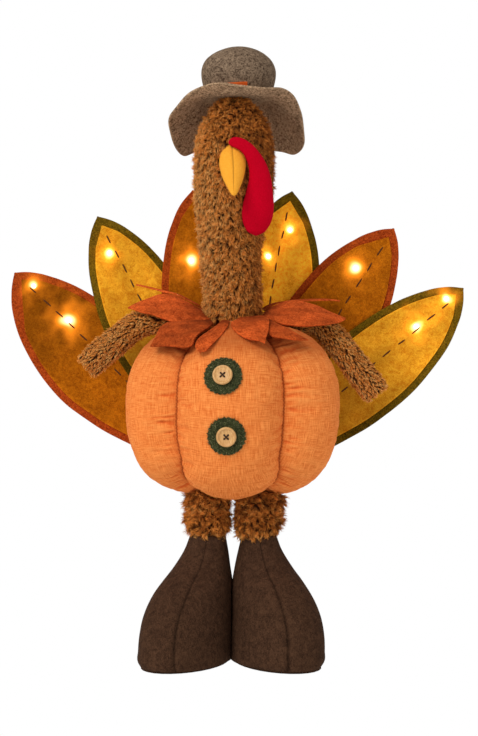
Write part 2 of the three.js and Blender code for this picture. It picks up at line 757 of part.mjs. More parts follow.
function tailFrameBody() {
  const spokes = featherAngles.map((angle, i) => {
    const out = new THREE.Vector3(Math.cos(radians(angle)), 0, Math.sin(radians(angle)));
    const depth = featherDepth(i) + frontFelt + seatGap + spokeRadius;
    const point = (reach) => out.clone().multiplyScalar(reach).setY(depth);
    return rod(point(tailOuterRadius - cutOverrun), point(tailOuterRadius + spokeLength), spokeRadius, 8);
  });
  return wasm.Manifold.union([tailBar(0), ...spokes]).translate([fanX, 0, fanHeight]);
}

// Inside frame: hip plate on the leg tubes, a post into the neck and an arm back to the tail

const hipHeight = pumpkinMiddle - hipDrop;
const outerTubeTop = pumpkinTop - tubeCover;
const innerTubeTop = outerTubeTop - tubeEndPlay;
const sleeveTop = pumpkinFoot - seatGap;
const legX = [-1, 1].map((side) => figureX + (side * legSpacing) / 2);
const outerTubeBore = innerTubeRadius + seatGap;
const outerTubeRadius = outerTubeBore + tubeWall;

function spineBody(grow) {
  const foot = hipHeight - hipThickness / 2 - grow;
  const head = hipHeight + hipThickness / 2 + grow;
  const wide = hipHalfWidth + grow;
  const deep = hipHalfDepth + grow;
  const narrow = tailArmHalfWidth + grow;
  const hip = box(figureX - wide, figureX + wide, -deep, deep, foot, head);
  const post = column(postRadius + grow, hipHeight, headTop - postCover + grow, smallSides);
  const arm = box(-narrow, narrow, 0, tailFrontDepth - seatGap + grow, foot, head);
  return wasm.Manifold.union([hip, post, arm]);
}

function outerTube(x) {
  return pipe(outerTubeBore, outerTubeRadius, outerTubeFoot, outerTubeTop).translate([x, 0, 0]);
}

function innerTube(x) {
  return column(innerTubeRadius, innerTubeFoot, innerTubeTop).translate([x, 0, 0]);
}

function tubeRoom(x, foot, top) {
  return column(outerTubeRadius + seatGap, foot, top).translate([x, 0, 0]);
}

function bush(x) {
  const top = outerTubeFoot - seatGap;
  return pipe(outerTubeBore, outerTubeBore + bushWall, top - bushHeight, top).translate([x, 0, 0]);
}

function sleeveBody(x) {
  const foot = bootHeight + seatGap;
  const tall = sleeveTop - foot;
  const skin = sleeveStepShares.map((step, i) => [sleeveBulgeShares[i] * sleeveRadius, foot + step * tall]);
  const bore = outerTubeRadius + seatGap;
  return turned([[bore, foot], ...skin, [bore, sleeveTop], [bore, foot]]).translate([x, 0, 0]);
}

// Boots: ankle on the leg, toes turned out

function bootRings(side) {
  const turn = radians(bootTurnDegrees);
  const toe = new THREE.Vector3(side * Math.sin(turn), -Math.cos(turn), 0);
  const cross = new THREE.Vector3(Math.cos(turn), side * Math.sin(turn), 0);
  return bootHeightShares.map((share, i) => {
    const halfWidth = bootWidthShares[i] * bootFootHalfWidth;
    const slim = bootSlimShares[i];
    const long = halfWidth / Math.hypot(Math.sin(turn), slim * Math.cos(turn));
    const halfDepth = long * Math.hypot(Math.cos(turn), slim * Math.sin(turn));
    const centre = new THREE.Vector3(
      figureX + bootLean * (1 - share) + side * bootMiddleShares[i] * bootFootHalfWidth + side * seatGap,
      bootHeelShares[i] * bootHeelDepth - halfDepth,
      bootFoot + share * (bootHeight - bootFoot),
    );
    return ellipse(centre, cross.clone().multiplyScalar(long * slim), toe.clone().multiplyScalar(long), 28);
  });
}

function bootBody(side, x) {
  const rings = bootRings(side);
  const bushRoom = outerTubeBore + bushWall + seatGap;
  const wide = column(bushRoom, outerTubeFoot - bushHeight - 4 * seatGap, bootHeight + cutOverrun);
  const narrow = column(innerTubeRadius + seatGap, innerTubeFoot - seatGap, bootHeight);
  return loft(rings).subtract(wide.add(narrow).translate([x, 0, 0]));
}

function soleBody(side) {
  const [ring] = bootRings(side);
  return loft([0, soleThickness].map((height) => ring.map((point) => point.clone().setZ(height))));
}

// Battery case: three cells side by side behind a cover that slides down, and a slide switch

const bayWidth = cellCount * (2 * cellRadius + cellPlay) + cellPlay;
const bayDepth = 2 * cellRadius + cellPlay;
const bayHeight = cellLength + 2 * cellPlay;
const caseHeight = bayHeight + switchRoom + 3 * caseWall;
const caseFront = tailBackDepth + seatGap;
const caseFoot = fanHeight + tailInnerRadius - caseHeight / 2;
const bayFoot = caseFoot + caseWall;
const coverFront = caseFront + caseWall + bayDepth + seatGap;
const caseBack = coverFront + coverThickness + seatGap;
const switchFoot = bayFoot + bayHeight + caseWall;

function caseBody() {
  const half = bayWidth / 2 + caseWall;
  const inside = caseFront + caseWall;
  const bayTop = bayFoot + bayHeight;
  const switchTop = switchFoot + switchRoom;
  const shell = box(-half, half, caseFront, caseBack, caseFoot, caseFoot + caseHeight);
  const bay = box(-bayWidth / 2, bayWidth / 2, inside, caseBack + cutOverrun, bayFoot, bayTop);
  const slot = bayWidth / 2 + coverGroove;
  const groove = box(-slot, slot, coverFront - seatGap, caseBack, caseFoot - cutOverrun, bayTop);
  const room = box(-bayWidth / 4, bayWidth / 4, inside, caseBack - caseWall, switchFoot, switchTop);
  const travel = switchKnob / 2 + switchTravel / 2 + seatGap;
  const knobRoom = switchKnob / 2 + seatGap;
  const middle = (caseFront + caseBack) / 2;
  const slitTop = switchTop + caseWall + cutOverrun;
  const slit = box(-travel, travel, middle - knobRoom, middle + knobRoom, switchFoot, slitTop);
  return shell.subtract(wasm.Manifold.union([bay, groove, room, slit])).translate([fanX, 0, 0]);
}

function coverBody() {
  const half = bayWidth / 2 + coverGroove - seatGap;
  const top = bayFoot + bayHeight - seatGap;
  return box(-half, half, coverFront, coverFront + coverThickness, caseFoot, top).translate([fanX, 0, 0]);
}

function cellBody(i) {
  const x = (i - (cellCount - 1) / 2) * (2 * cellRadius + cellPlay);
  const foot = bayFoot + seatGap;
  const cap = cellLength - cellCapHeight;
  return turned([
    [0, foot], [cellRadius, foot], [cellRadius, foot + cap],
    [cellCapRadius, foot + cap], [cellCapRadius, foot + cellLength], [0, foot + cellLength],
  ], smallSides).translate([fanX + x, caseFront + caseWall + bayDepth / 2, 0]);
}

function switchBody() {
  const top = switchFoot + switchRoom;
  const middle = (caseFront + caseBack) / 2;
  const x = -switchTravel / 2;
  const half = switchKnob / 2;
  const wide = half + switchFlange;
  const plateTop = top - seatGap;
  const knobTop = top + caseWall + switchRise;
  const base = box(x - wide, x + wide, middle - wide, middle + wide, plateTop - switchPlate, plateTop);
  const knob = box(x - half, x + half, middle - half, middle + half, plateTop - switchPlate / 2, knobTop);
  return base.add(knob).translate([fanX, 0, 0]);
}

// The figure put together

const legRooms = legX.map((x) => tubeRoom(x, -cutOverrun, outerTubeTop + seatGap));
const tailRoom = tailBar(2 * seatGap).translate([fanX, 0, fanHeight]);
const pumpkin = pumpkinBody().subtract(wasm.Manifold.union([...legRooms, spineBody(seatGap), tailRoom]));
add('pumpkin_body', pumpkin, 'linen');
const head = neckBody(0).subtract(spineBody(seatGap));
const headRoom = neckBody(seatGap);
add('neck_and_head', head, 'fur');
const beak = beakBody(0).subtract(headRoom);
add('beak', beak, 'goldFelt');
const snood = snoodBody().subtract(headRoom.add(beakBody(seatGap)));
add('snood', snood, 'redFelt');
add('hat_crown', crownBody().subtract(headRoom), 'greyFelt');
add('hat_brim', brimBody(), 'greyFelt');
add('hat_band', bandBody(), 'rustFelt');
leaves.forEach((leaf, i) => add(`collar_leaf_${i + 1}`, leafBody(leaf), 'rustFelt'));

for (const { name, seatShares: [aside, back, up], routeShares } of arms) {
  add(name, armBody(routeShares), 'fur').position.set(
    pumpkinX + aside * pumpkinHalfWidth,
    back * pumpkinHalfDepth,
    pumpkinMiddle + up * pumpkinHalfHeight + armRadius * shoulderLean,
  );
}

for (const { name, asideShare, upShare, liftDegrees } of buttonPlaces) {
  const place = new THREE.Group();
  place.position.set(
    pumpkinX + asideShare * pumpkinHalfWidth,
    -lobeDepth(upShare) - seatGap,
    pumpkinMiddle + upShare * pumpkinHalfHeight,
  );
  place.rotation.x = -radians(liftDegrees);
  add(`button_patch_${name}`, patchBody(), 'greenFelt', place);
  add(`button_${name}`, buttonBody(), 'wood', place).position.y = -patchThickness - seatGap;
  figure.add(place);
}

featherAngles.forEach((angle, i) => {
  const place = new THREE.Group();
  place.position.set(fanX, featherDepth(i), fanHeight);
  place.rotation.y = -radians(angle);
  const warm = i % 2 === 0;
  add(`feather_back_${i + 1}`, featherBack(i), warm ? 'rustFelt' : 'greenFelt', place);
  add(`feather_front_${i + 1}`, featherFront(i), warm ? 'brownFelt' : 'yellowFelt', place);
  add(`feather_lights_${i + 1}`, lampsBody(i), 'lamp', place);
  figure.add(place);
});

add('tail_frame', tailFrameBody(), 'plastic');
const tubeRooms = wasm.Manifold.union(legX.map((x) => tubeRoom(x, 0, outerTubeTop)));
add('spine_frame', spineBody(0).subtract(tubeRooms), 'steel');
['left', 'right'].forEach((name, i) => {
  const side = i === 0 ? -1 : 1;
  add(`outer_leg_tube_${name}`, outerTube(legX[i]), 'steel');
  add(`inner_leg_tube_${name}`, innerTube(legX[i]), 'steel');
  add(`leg_guide_bush_${name}`, bush(legX[i]), 'plastic');
  add(`leg_sleeve_${name}`, sleeveBody(legX[i]), 'fur');
  add(`boot_${name}`, bootBody(side, legX[i]), 'bootFelt');
  add(`boot_sole_${name}`, soleBody(side), 'plastic');
});
add('battery_case', caseBody(), 'plastic');
add('battery_cover', coverBody(), 'plastic');
add('power_switch', switchBody(), 'plastic');
for (let i = 0; i < cellCount; i += 1) {
  add(`battery_cell_${i + 1}`, cellBody(i), 'steel');
}

// The origin is the middle of the footprint of the whole figure, on the floor
const extent = new THREE.Box3().setFromObject(figure, true);
const middle = extent.getCenter(new THREE.Vector3());
figure.position.set(-middle.x, -middle.y, -extent.min.z);

export default figure;
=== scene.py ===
import math
import bpy
import numpy as np
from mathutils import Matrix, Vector, noise
from mathutils.bvhtree import BVHTree
from mathutils.kdtree import KDTree


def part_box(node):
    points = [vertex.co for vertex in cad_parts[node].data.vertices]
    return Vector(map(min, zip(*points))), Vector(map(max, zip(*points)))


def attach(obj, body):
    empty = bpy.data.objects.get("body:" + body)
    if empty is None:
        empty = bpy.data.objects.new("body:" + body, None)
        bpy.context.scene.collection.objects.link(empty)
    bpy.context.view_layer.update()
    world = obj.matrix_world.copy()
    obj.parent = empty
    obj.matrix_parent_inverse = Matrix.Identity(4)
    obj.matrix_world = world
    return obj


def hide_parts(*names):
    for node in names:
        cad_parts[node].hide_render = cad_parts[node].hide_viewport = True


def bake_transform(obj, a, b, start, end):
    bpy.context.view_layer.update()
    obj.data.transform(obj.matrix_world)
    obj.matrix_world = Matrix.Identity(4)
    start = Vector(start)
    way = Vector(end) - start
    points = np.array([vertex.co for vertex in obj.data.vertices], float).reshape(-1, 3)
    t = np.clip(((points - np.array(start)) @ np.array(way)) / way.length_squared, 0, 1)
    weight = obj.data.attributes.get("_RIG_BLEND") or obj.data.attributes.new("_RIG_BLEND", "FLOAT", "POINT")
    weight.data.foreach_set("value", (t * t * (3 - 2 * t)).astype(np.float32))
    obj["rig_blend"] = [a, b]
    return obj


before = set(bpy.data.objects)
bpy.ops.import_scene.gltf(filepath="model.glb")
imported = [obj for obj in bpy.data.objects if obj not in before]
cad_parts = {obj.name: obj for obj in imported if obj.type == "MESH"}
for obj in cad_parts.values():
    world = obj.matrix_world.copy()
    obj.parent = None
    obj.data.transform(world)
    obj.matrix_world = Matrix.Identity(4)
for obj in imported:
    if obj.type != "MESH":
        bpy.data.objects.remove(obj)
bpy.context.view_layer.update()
mm = 0.001
noise.seed_set(5)  # the noise vectors start from here, so that each run gives the same shapes

# Points are written in the figure's own millimetres: X from 1 mm left of the middle between the
# legs, Y from the leg tubes' axis, and Z so that the boots' tops are at 153
figureAside = 1
bootTops = 153
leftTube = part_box("outer_leg_tube_left")
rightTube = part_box("outer_leg_tube_right")
figureShift = np.array([
    (leftTube[0][0] + leftTube[1][0] + rightTube[0][0] + rightTube[1][0]) / 4 - figureAside * mm,
    (leftTube[0][1] + leftTube[1][1]) / 2,
    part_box("boot_left")[1][2] - bootTops * mm,
])
floorLevel = -figureShift[2] / mm
print("frame loaded, figure zero at", figureShift)


# Shader sums

class Wire:
    def __init__(self, nodes, socket):
        self.nodes = nodes
        self.socket = socket

    def sum(self, operation, first, second):
        return self.nodes.add("Math", {"operation": operation}, {0: first, 1: second})

    def __add__(self, other):
        return self.sum("ADD", self, other)

    def __radd__(self, other):
        return self.sum("ADD", other, self)

    def __rsub__(self, other):
        return self.sum("SUBTRACT", other, self)

    def __mul__(self, other):
        return self.sum("MULTIPLY", self, other)

    def __truediv__(self, other):
        return self.sum("DIVIDE", self, other)

    def __pow__(self, other):
        return self.sum("POWER", self, other)

    def highest(self, other):
        return self.sum("MAXIMUM", self, other)

    def ramp(self, low, high):  # a smooth step from 0 at low to 1 at high
        return self.nodes.add("MapRange", {"interpolation_type": "SMOOTHSTEP"}, {
            "Value": self, "From Min": low, "From Max": high,
        })


class Nodes:
    def __init__(self, tree):
        self.tree = tree
        tree.nodes.clear()

    def add(self, kind, settings, inputs, output=0):
        made = self.tree.nodes.new("ShaderNode" + kind)
        for key, value in settings.items():
            setattr(made, key, value)
        for key, value in inputs.items():
            socket = made.inputs[key]
            if isinstance(value, Wire):
                self.tree.links.new(value.socket, socket)
            elif hasattr(value, "__len__") and len(value) < len(socket.default_value):
                socket.default_value = [*value, 1.0]
            else:
                socket.default_value = value
        return None if output is None else Wire(self, made.outputs[output])

    def mix(self, share, first, second):
        return self.add("Mix", {"data_type": "RGBA"}, {0: share, 6: first, 7: second}, 2)

    def shaded(self, colour, amount):  # a colour made darker or lighter by a number
        grey = self.add("CombineColor", {}, {0: amount, 1: amount, 2: amount})
        kind = {"data_type": "RGBA", "blend_type": "MULTIPLY"}
        return self.add("Mix", kind, {0: 1.0, 6: colour, 7: grey}, 2)

    def place(self):  # object space in millimetres
        spot = self.add("TexCoord", {}, {}, "Object")
        return self.add("VectorMath", {"operation": "SCALE"}, {0: spot, "Scale": 1 / mm})

    def stretched(self, where, scales):
        return self.add("VectorMath", {"operation": "MULTIPLY"}, {0: where, 1: scales})

    def vector(self, x, y, z=0.0):
        return self.add("CombineXYZ", {}, {0: x, 1: y, 2: z})

    def noise(self, where, size, detail=2.0, rough=0.5, bend=0.0):
        return self.add("TexNoise", {}, {
            "Vector": where, "Scale": 1 / size, "Detail": detail, "Roughness": rough, "Distortion": bend,
        })

    def carried(self, name):  # a number that the mesh holds at its points
        return self.add("Attribute", {"attribute_name": name}, {}, "Fac")

    def bumped(self, height, depth):  # depth in millimetres for a height from 0 to 1
        return self.add("Bump", {}, {"Strength": 1.0, "Distance": depth * mm, "Height": height})


def surface(name, make, **fixed):  # fixed values go on the shader's own sockets
    material = bpy.data.materials.new(name)
    material.use_nodes = True
    nodes = Nodes(material.node_tree)
    values = {key.replace("_", " "): value for key, value in fixed.items()}
    skin = nodes.add("BsdfPrincipled", {}, {**values, **make(nodes)})
    nodes.add("OutputMaterial", {}, {"Surface": skin}, None)
    return material


def linear(red, green, blue):  # a colour as seen, 0 to 255, in the shader's own light values
    shares = [value / 255 for value in (red, green, blue)]
    return tuple(s / 12.92 if s <= 0.04045 else ((s + 0.055) / 1.055) ** 2.4 for s in shares)


# Meshes

def smoothRead(stations, values, at):  # a smooth curve through a table
    stations = np.asarray(stations, float)
    values = np.asarray(values, float)
    slopes = np.gradient(values, stations, axis=0)
    at = np.clip(np.asarray(at, float), stations[0], stations[-1])
    i = np.clip(np.searchsorted(stations, at, side="right") - 1, 0, len(stations) - 2)
    span = stations[i + 1] - stations[i]
    t = (at - stations[i]) / span
    for _ in range(values.ndim - 1):
        t = t[..., None]
        span = span[..., None]
    return (
        (2 * t**3 - 3 * t**2 + 1) * values[i] + (t**3 - 2 * t**2 + t) * span * slopes[i]
        + (3 * t**2 - 2 * t**3) * values[i + 1] + (t**3 - t**2) * span * slopes[i + 1]
    )


def unit(vectors):
    return vectors / np.maximum(np.linalg.norm(vectors, axis=-1, keepdims=True), 1e-9)


def smoothStep(values, low, high):
    t = np.clip((values - low) / (high - low), 0, 1)
    return t * t * (3 - 2 * t)


def spun(columns):  # angles that go once round
    return np.arange(columns) / columns * 2 * np.pi


def walked(points):  # how far along a line of points each one is
    return np.concatenate([[0], np.cumsum(np.linalg.norm(np.diff(points, axis=0), axis=1))])


def sceneSpot(points):  # from the figure's millimetres to the scene's metres
    return np.asarray(points, float) * mm + figureShift


def figureSpot(spots):
    return (np.array(spots) - figureShift) / mm


def bend(points, size, amount, seed):  # the points wander smoothly, in millimetres
    flat = points.reshape(-1, 3)
    shift = Vector((seed * 17.3, seed * 5.1, seed * 9.7))
    moved = [noise.noise_vector(Vector(p) / size + shift) for p in flat]
    return points + np.array(moved).reshape(points.shape) * amount


def wander(points, size, seed):  # one smooth number for each point, from about -1 to 1
    flat = points.reshape(-1, 3)
    shift = Vector((seed * 3.7, seed * 11.9, seed * 7.3))
    return np.array([noise.noise(Vector(p) / size + shift) for p in flat]).reshape(points.shape[:-1])


def turnedOut(points, faces):  # faces in the order that turns a closed piece's normals outwards
    points = points - points.mean(axis=0)
    volume = 0.0
    for group in faces:
        corners = points[group]
        for i in range(1, corners.shape[1] - 1):
            volume += np.sum(corners[:, 0] * np.cross(corners[:, i], corners[:, i + 1]))
    return faces if volume > 0 else [group[:, ::-1] for group in faces]


def addPiece(name, points, faces, material, body, slot, carried=None, uv=None):
    mesh = bpy.data.meshes.new(name)
    points = sceneSpot(points).reshape(-1, 3)
    if uv is None:
        faces = turnedOut(points, faces)
    flat = np.concatenate([np.asarray(group).ravel() for group in faces]).astype(np.int32)
    sizes = np.concatenate([np.full(len(group), np.shape(group)[1]) for group in faces])
    starts = np.concatenate([[0], np.cumsum(sizes)[:-1]]).astype(np.int32)
    mesh.vertices.add(len(points))
    mesh.vertices.foreach_set("co", points.astype(np.float32).ravel())
    mesh.loops.add(len(flat))
    mesh.loops.foreach_set("vertex_index", flat)
    mesh.polygons.add(len(sizes))
    mesh.polygons.foreach_set("loop_start", starts)
    mesh.update(calc_edges=True)
    mesh.validate()
    mesh.shade_smooth()
    if uv is not None:
        layer = mesh.uv_layers.new(name="OFBake")
        layer.uv.foreach_set("vector", np.asarray(uv, np.float32).ravel())
    for key, values in (carried or {}).items():
        layer = mesh.attributes.new(key, "FLOAT", "POINT")
        layer.data.foreach_set("value", np.asarray(values, np.float32).ravel())
    piece = bpy.data.objects.new(name, mesh)
    bpy.context.scene.collection.objects.link(piece)
    mesh.materials.append(material)
    if body:
        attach(piece, body)
    return piece


def gridFaces(rows, columns, wrap):  # quads over a grid of points, row by row
    across = np.arange(columns if wrap else columns - 1)
    i = np.arange(rows - 1)[:, None] * columns
    a = i + across
    b = i + (across + 1) % columns
    return np.stack([a, b, b + columns, a + columns], axis=-1).reshape(-1, 4)


def closedTube(rings):  # points and faces of a tube that a middle point closes at both ends
    rows, columns = rings.shape[:2]
    last = (rows - 1) * columns
    points = np.vstack([rings.reshape(-1, 3), rings[0].mean(axis=0), rings[-1].mean(axis=0)])
    low = len(points) - 2
    j = np.arange(columns)
    k = (j + 1) % columns
    foot = np.stack([np.full(columns, low), k, j], axis=-1)
    head = np.stack([np.full(columns, low + 1), last + j, last + k], axis=-1)
    return points, [gridFaces(rows, columns, True), foot, head]


def addTube(name, rings, material, body, slot, carried=None):
    points, faces = closedTube(rings)
    held = {
        key: np.concatenate([np.ravel(values), [np.mean(values[0]), np.mean(values[-1])]])
        for key, values in (carried or {}).items()
    }
    return addPiece(name, points, faces, material, body, slot, held)


def joined(grids):  # points and faces of several little tubes
    faces = []
    start = 0
    for grid in grids:
        rows, columns = grid.shape[:2]
        faces.append(gridFaces(rows, columns, True) + start)
        start += rows * columns
    return np.vstack([grid.reshape(-1, 3) for grid in grids]), faces


def sheetNormals(grid, wrap):
    along = np.gradient(grid, axis=0)
    across = np.roll(grid, -1, axis=1) - np.roll(grid, 1, axis=1) if wrap else np.gradient(grid, axis=1)
    return unit(np.cross(along, across))


def sheetArea(grid, wrap=False):  # in square metres; wrap is for a sheet that runs round into itself
    if wrap:
        grid = np.concatenate([grid, grid[:, :1]], axis=1)
    one = np.cross(grid[1:, 1:] - grid[:-1, :-1], grid[:-1, 1:] - grid[1:, :-1])
    return np.linalg.norm(one, axis=-1).sum() / 2 * mm * mm


def flatSize(grid):  # a sheet's greatest width and its length, in metres
    wide = np.linalg.norm(np.diff(grid, axis=1), axis=-1).sum(axis=1).max()
    long = np.linalg.norm(np.diff(grid, axis=0), axis=-1).sum(axis=0).max()
    return (max(wide * mm, 0.01), max(long * mm, 0.01))


def flatArea(grid):  # in square metres, and no more than the flat size's
    wide, long = flatSize(grid)
    return min(sheetArea(grid), wide * long)


wornEdge = {"share": 0.24, "corner": 55}


def addSheet(name, grid, thickness, material, body, slot, wrap=False, carried=None):
    rows, columns = grid.shape[:2]
    count = rows * columns
    normals = sheetNormals(grid, wrap)
    points = np.vstack([
        (grid + normals * thickness / 2).reshape(-1, 3),
        (grid - normals * thickness / 2).reshape(-1, 3),
    ])
    front = gridFaces(rows, columns, wrap)
    j = np.arange(columns if wrap else columns - 1)
    k = (j + 1) % columns
    last = (rows - 1) * columns
    rim = [
        np.stack([k, j, count + j, count + k], axis=-1),
        np.stack([last + j, last + k, count + last + k, count + last + j], axis=-1),
    ]
    if not wrap:
        a = np.arange(rows - 1) * columns
        b = a + columns
        rim.append(np.stack([a, b, count + b, count + a], axis=-1))
        a = a + columns - 1
        b = b + columns - 1
        rim.append(np.stack([b, a, count + a, count + b], axis=-1))
    held = {key: np.tile(np.ravel(values), 2) for key, values in (carried or {}).items()}
    piece = addPiece(name, points, [front, front[:, ::-1] + count, *rim], material, body, slot, held)
    edge = piece.modifiers.new("worn edge", "BEVEL")
    edge.width = thickness * wornEdge["share"] * mm
    edge.segments = 2
    edge.limit_method = "ANGLE"
    edge.angle_limit = math.radians(wornEdge["corner"])
    return piece


def ringsAbout(centres, across, deep, columns, swell=1):  # one ring for each centre
    turn = spun(columns)
    right = (np.cos(turn) * swell)[..., None] * np.asarray(across)[..., None, :]
    up = (np.sin(turn) * swell)[..., None] * np.asarray(deep)[..., None, :]
    return np.asarray(centres)[..., None, :] + right + up


def upright(x, y, radius, height, columns):  # rings round a standing axis
    turn = spun(columns)
    return np.stack([
        x + radius[:, None] * np.cos(turn),
        y + radius[:, None] * np.sin(turn),
        height[:, None] + 0 * turn,
    ], axis=-1)


def seamAt(turn, bearing, wide):  # 1 at a bearing, and 0 away from it
    return np.exp(-(np.sin((turn - bearing) / 2) * 2 / wide) ** 2)


# Camera, light and floor

stagePlan = {
    "eye": (7.5, -1700, 345),
    "lens": 72.3,
    "skyLight": 0.55,
    "keyLight": 1.75,
    "keyTurn": (40, -36, 0),
    "keySoftness": 30,
    "floorPaper": (0.92, 0.92, 0.92),
    "floorFades": (300, 1100),
    "floorReach": 6000,
    "floorGlow": 0.66,
}


def makeStage(plan):
    scene = bpy.context.scene
    camera = bpy.data.objects.new("camera", bpy.data.cameras.new("camera"))
    camera.data.lens = plan["lens"]
    camera.data.sensor_width = 36
    camera.data.clip_end = 50
    camera.location = sceneSpot(plan["eye"])
    camera.rotation_euler = (math.pi / 2, 0, 0)
    scene.collection.objects.link(camera)
    scene.camera = camera

    key = bpy.data.objects.new("key light", bpy.data.lights.new("key light", "SUN"))
    key.data.energy = plan["keyLight"]
    key.data.angle = math.radians(plan["keySoftness"])
    key.rotation_euler = [math.radians(turn) for turn in plan["keyTurn"]]
    scene.collection.objects.link(key)

    world = bpy.data.worlds.new("studio")
    world.use_nodes = True
    scene.world = world
    nodes = Nodes(world.node_tree)
    seen = nodes.add("LightPath", {}, {}, "Is Camera Ray")
    seen = seen.highest(nodes.add("LightPath", {}, {}, "Is Glossy Ray"))
    seen = seen.highest(nodes.add("LightPath", {}, {}, "Is Transmission Ray"))
    light = nodes.add("Background", {}, {"Color": (1, 1, 1), "Strength": plan["skyLight"]})
    backdrop = nodes.add("Background", {}, {"Color": (1, 1, 1), "Strength": 1.0})
    both = nodes.add("MixShader", {}, {0: seen, 1: light, 2: backdrop})
    nodes.add("OutputWorld", {}, {"Surface": both}, None)

    material = bpy.data.materials.new("floor")
    material.use_nodes = True
    nodes = Nodes(material.node_tree)
    away = nodes.add("VectorMath", {"operation": "LENGTH"}, {0: nodes.place()}, "Value")
    paper = nodes.add("BsdfDiffuse", {}, {"Color": plan["floorPaper"]})
    glow = nodes.add("Emission", {}, {"Color": (1, 1, 1), "Strength": 1.0})
    seen = nodes.add("LightPath", {}, {}, "Is Camera Ray")
    white = seen.highest(away.ramp(*plan["floorFades"]).highest(plan["floorGlow"]))
    both = nodes.add("MixShader", {}, {0: white, 1: paper, 2: glow})
    nodes.add("OutputMaterial", {}, {"Surface": both}, None)
    reach = plan["floorReach"]
    steps = np.linspace(-reach, reach, 5)
    grid = np.stack([*np.meshgrid(steps, steps, indexing="ij"), np.full((5, 5), floorLevel)], axis=-1)
    floor = addPiece("floor", grid, [gridFaces(5, 5, False)], material, None, None)
    scene.view_settings.view_transform = "Standard"


makeStage(stagePlan)
print("stage ready")


# The photograph's pixels as points of the figure

photoPlan = {
    "middle": (239, 368),  # in pixels
    "pixel": 1.15,  # in millimetres, at the legs' depth
}


def pixelSize(depth):  # in millimetres, at a depth in Y
    return photoPlan["pixel"] * (1 - depth / stagePlan["eye"][1])


def fromPhoto(across, down, depth):  # the point that the photograph shows there
    scale = pixelSize(depth)
    middle = photoPlan["middle"]
    eye = stagePlan["eye"]
    return np.array([eye[0] + (across - middle[0]) * scale, depth, eye[2] + (middle[1] - down) * scale])


# Pumpkin body: six lobes of slub linen. The cloth is simulated: the seams are held as a drawn
# thread holds them, the cloth between is larger than its room, and the stuffing presses it out

pumpkinPlan = {
    "middle": (1.9, 0, 298.5),
    "half": (123.5, 103.5, 100),
    "power": 2.6,
    "closing": 0.98,
    "turn": -2.5,
    "lobes": 6,
    "pinch": 14,
    "lobePower": 0.66,
    "lobeGap": 400,
    "columns": 30,
    "rows": 136,
    "fine": 2,
    "wider": 0.09,
    "lowWider": 0.75,
    "toothPitch": 4.2,
    "toothAcross": 0.75,
    "dip": 9,
    "crowding": 1.12,
    "frontSlack": 0.75,
    "looseReach": 25,
    "frames": 10,
    "cloth": {
        "quality": 5, "mass": 0.0005,
        "tension_stiffness": 5, "compression_stiffness": 5, "shear_stiffness": 2, "bending_stiffness": 0.005,
        "tension_damping": 0.1, "compression_damping": 0.1, "shear_damping": 0.1, "bending_damping": 0.01,
        "vertex_group_mass": "held", "use_pressure": True, "uniform_pressure_force": 30.0,
        "vertex_group_shrink": "snug", "shrink_min": -0.05, "shrink_max": -1.0,
    },
    "softRows": 4,
    "foldGain": 1.15,
    "pucker": 4.2,
    "puckerPitch": 9.0,
    "puckerReach": 24,
    "thread": 0.62,
    "light": linear(255, 168, 90),
    "base": linear(240, 124, 52),
    "dark": linear(188, 78, 26),
    # crease is a painted shade colour, for the shade in the folds' creases
    "crease": linear(206, 78, 26),
    # seam is a painted shade colour: the shadow line in each seam, and the shade at the top
    "seam": linear(128, 40, 10),
}


def linenMaterial(plan):
    def make(nodes):
        across = nodes.carried("weaveAcross")
        along = nodes.carried("weaveAlong")
        thread = plan["thread"]
        warp = nodes.noise(nodes.vector(across / thread, along / 16.0), 1.0, 3.0, 0.65)
        weft = nodes.noise(nodes.vector(across / 13.0, along / thread, 7.0), 1.0, 3.0, 0.65)
        slub = nodes.noise(nodes.vector(across / 1.1, along / 42.0, 3.0), 1.0, 2.0)
        slubAcross = nodes.noise(nodes.vector(across / 36.0, along / 1.1, 5.0), 1.0, 2.0)
        fade = nodes.noise(nodes.vector(across, along, 9.0), 34.0, 2.0)
        weave = (warp + weft).ramp(0.78, 1.22)
        colour = nodes.mix(weave, plan["dark"], plan["light"])
        colour = nodes.mix(0.42, colour, plan["base"])
        knots = (slub.highest(slubAcross)).ramp(0.58, 0.78)
        colour = nodes.mix(knots * 0.45, colour, plan["light"])
        # painted shade and highlight: the cloth is darker in its creases and lighter on its fold ridges
        fold = nodes.carried("fold")
        colour = nodes.mix((0 - fold).ramp(0.1, 1.3) * 0.55, colour, plan["crease"])
        colour = nodes.mix(fold.ramp(0.1, 1.2) * 0.3, colour, plan["light"])
        # painted shade: the lobes darken towards the seams, where they turn away from the light
        colour = nodes.mix(nodes.carried("seamNear") * 0.3, colour, plan["dark"])
        # painted shade: the top of the pumpkin is darker, under the collar and the neck
        colour = nodes.mix(nodes.carried("topNear") * 0.5, colour, plan["seam"])
        # painted shadow: a thin dark line along each seam, where the lobes meet
        colour = nodes.mix(nodes.carried("seamLine") * 0.85, colour, plan["seam"])
        colour = nodes.shaded(colour, 0.93 + fade * 0.14)
        height = warp * 0.5 + weft * 0.5 + knots * 0.3
        return {"Base Color": colour, "Normal": nodes.bumped(height, 0.45)}
    return surface("slub linen", make, Roughness=0.95, Specular_IOR_Level=0.06)


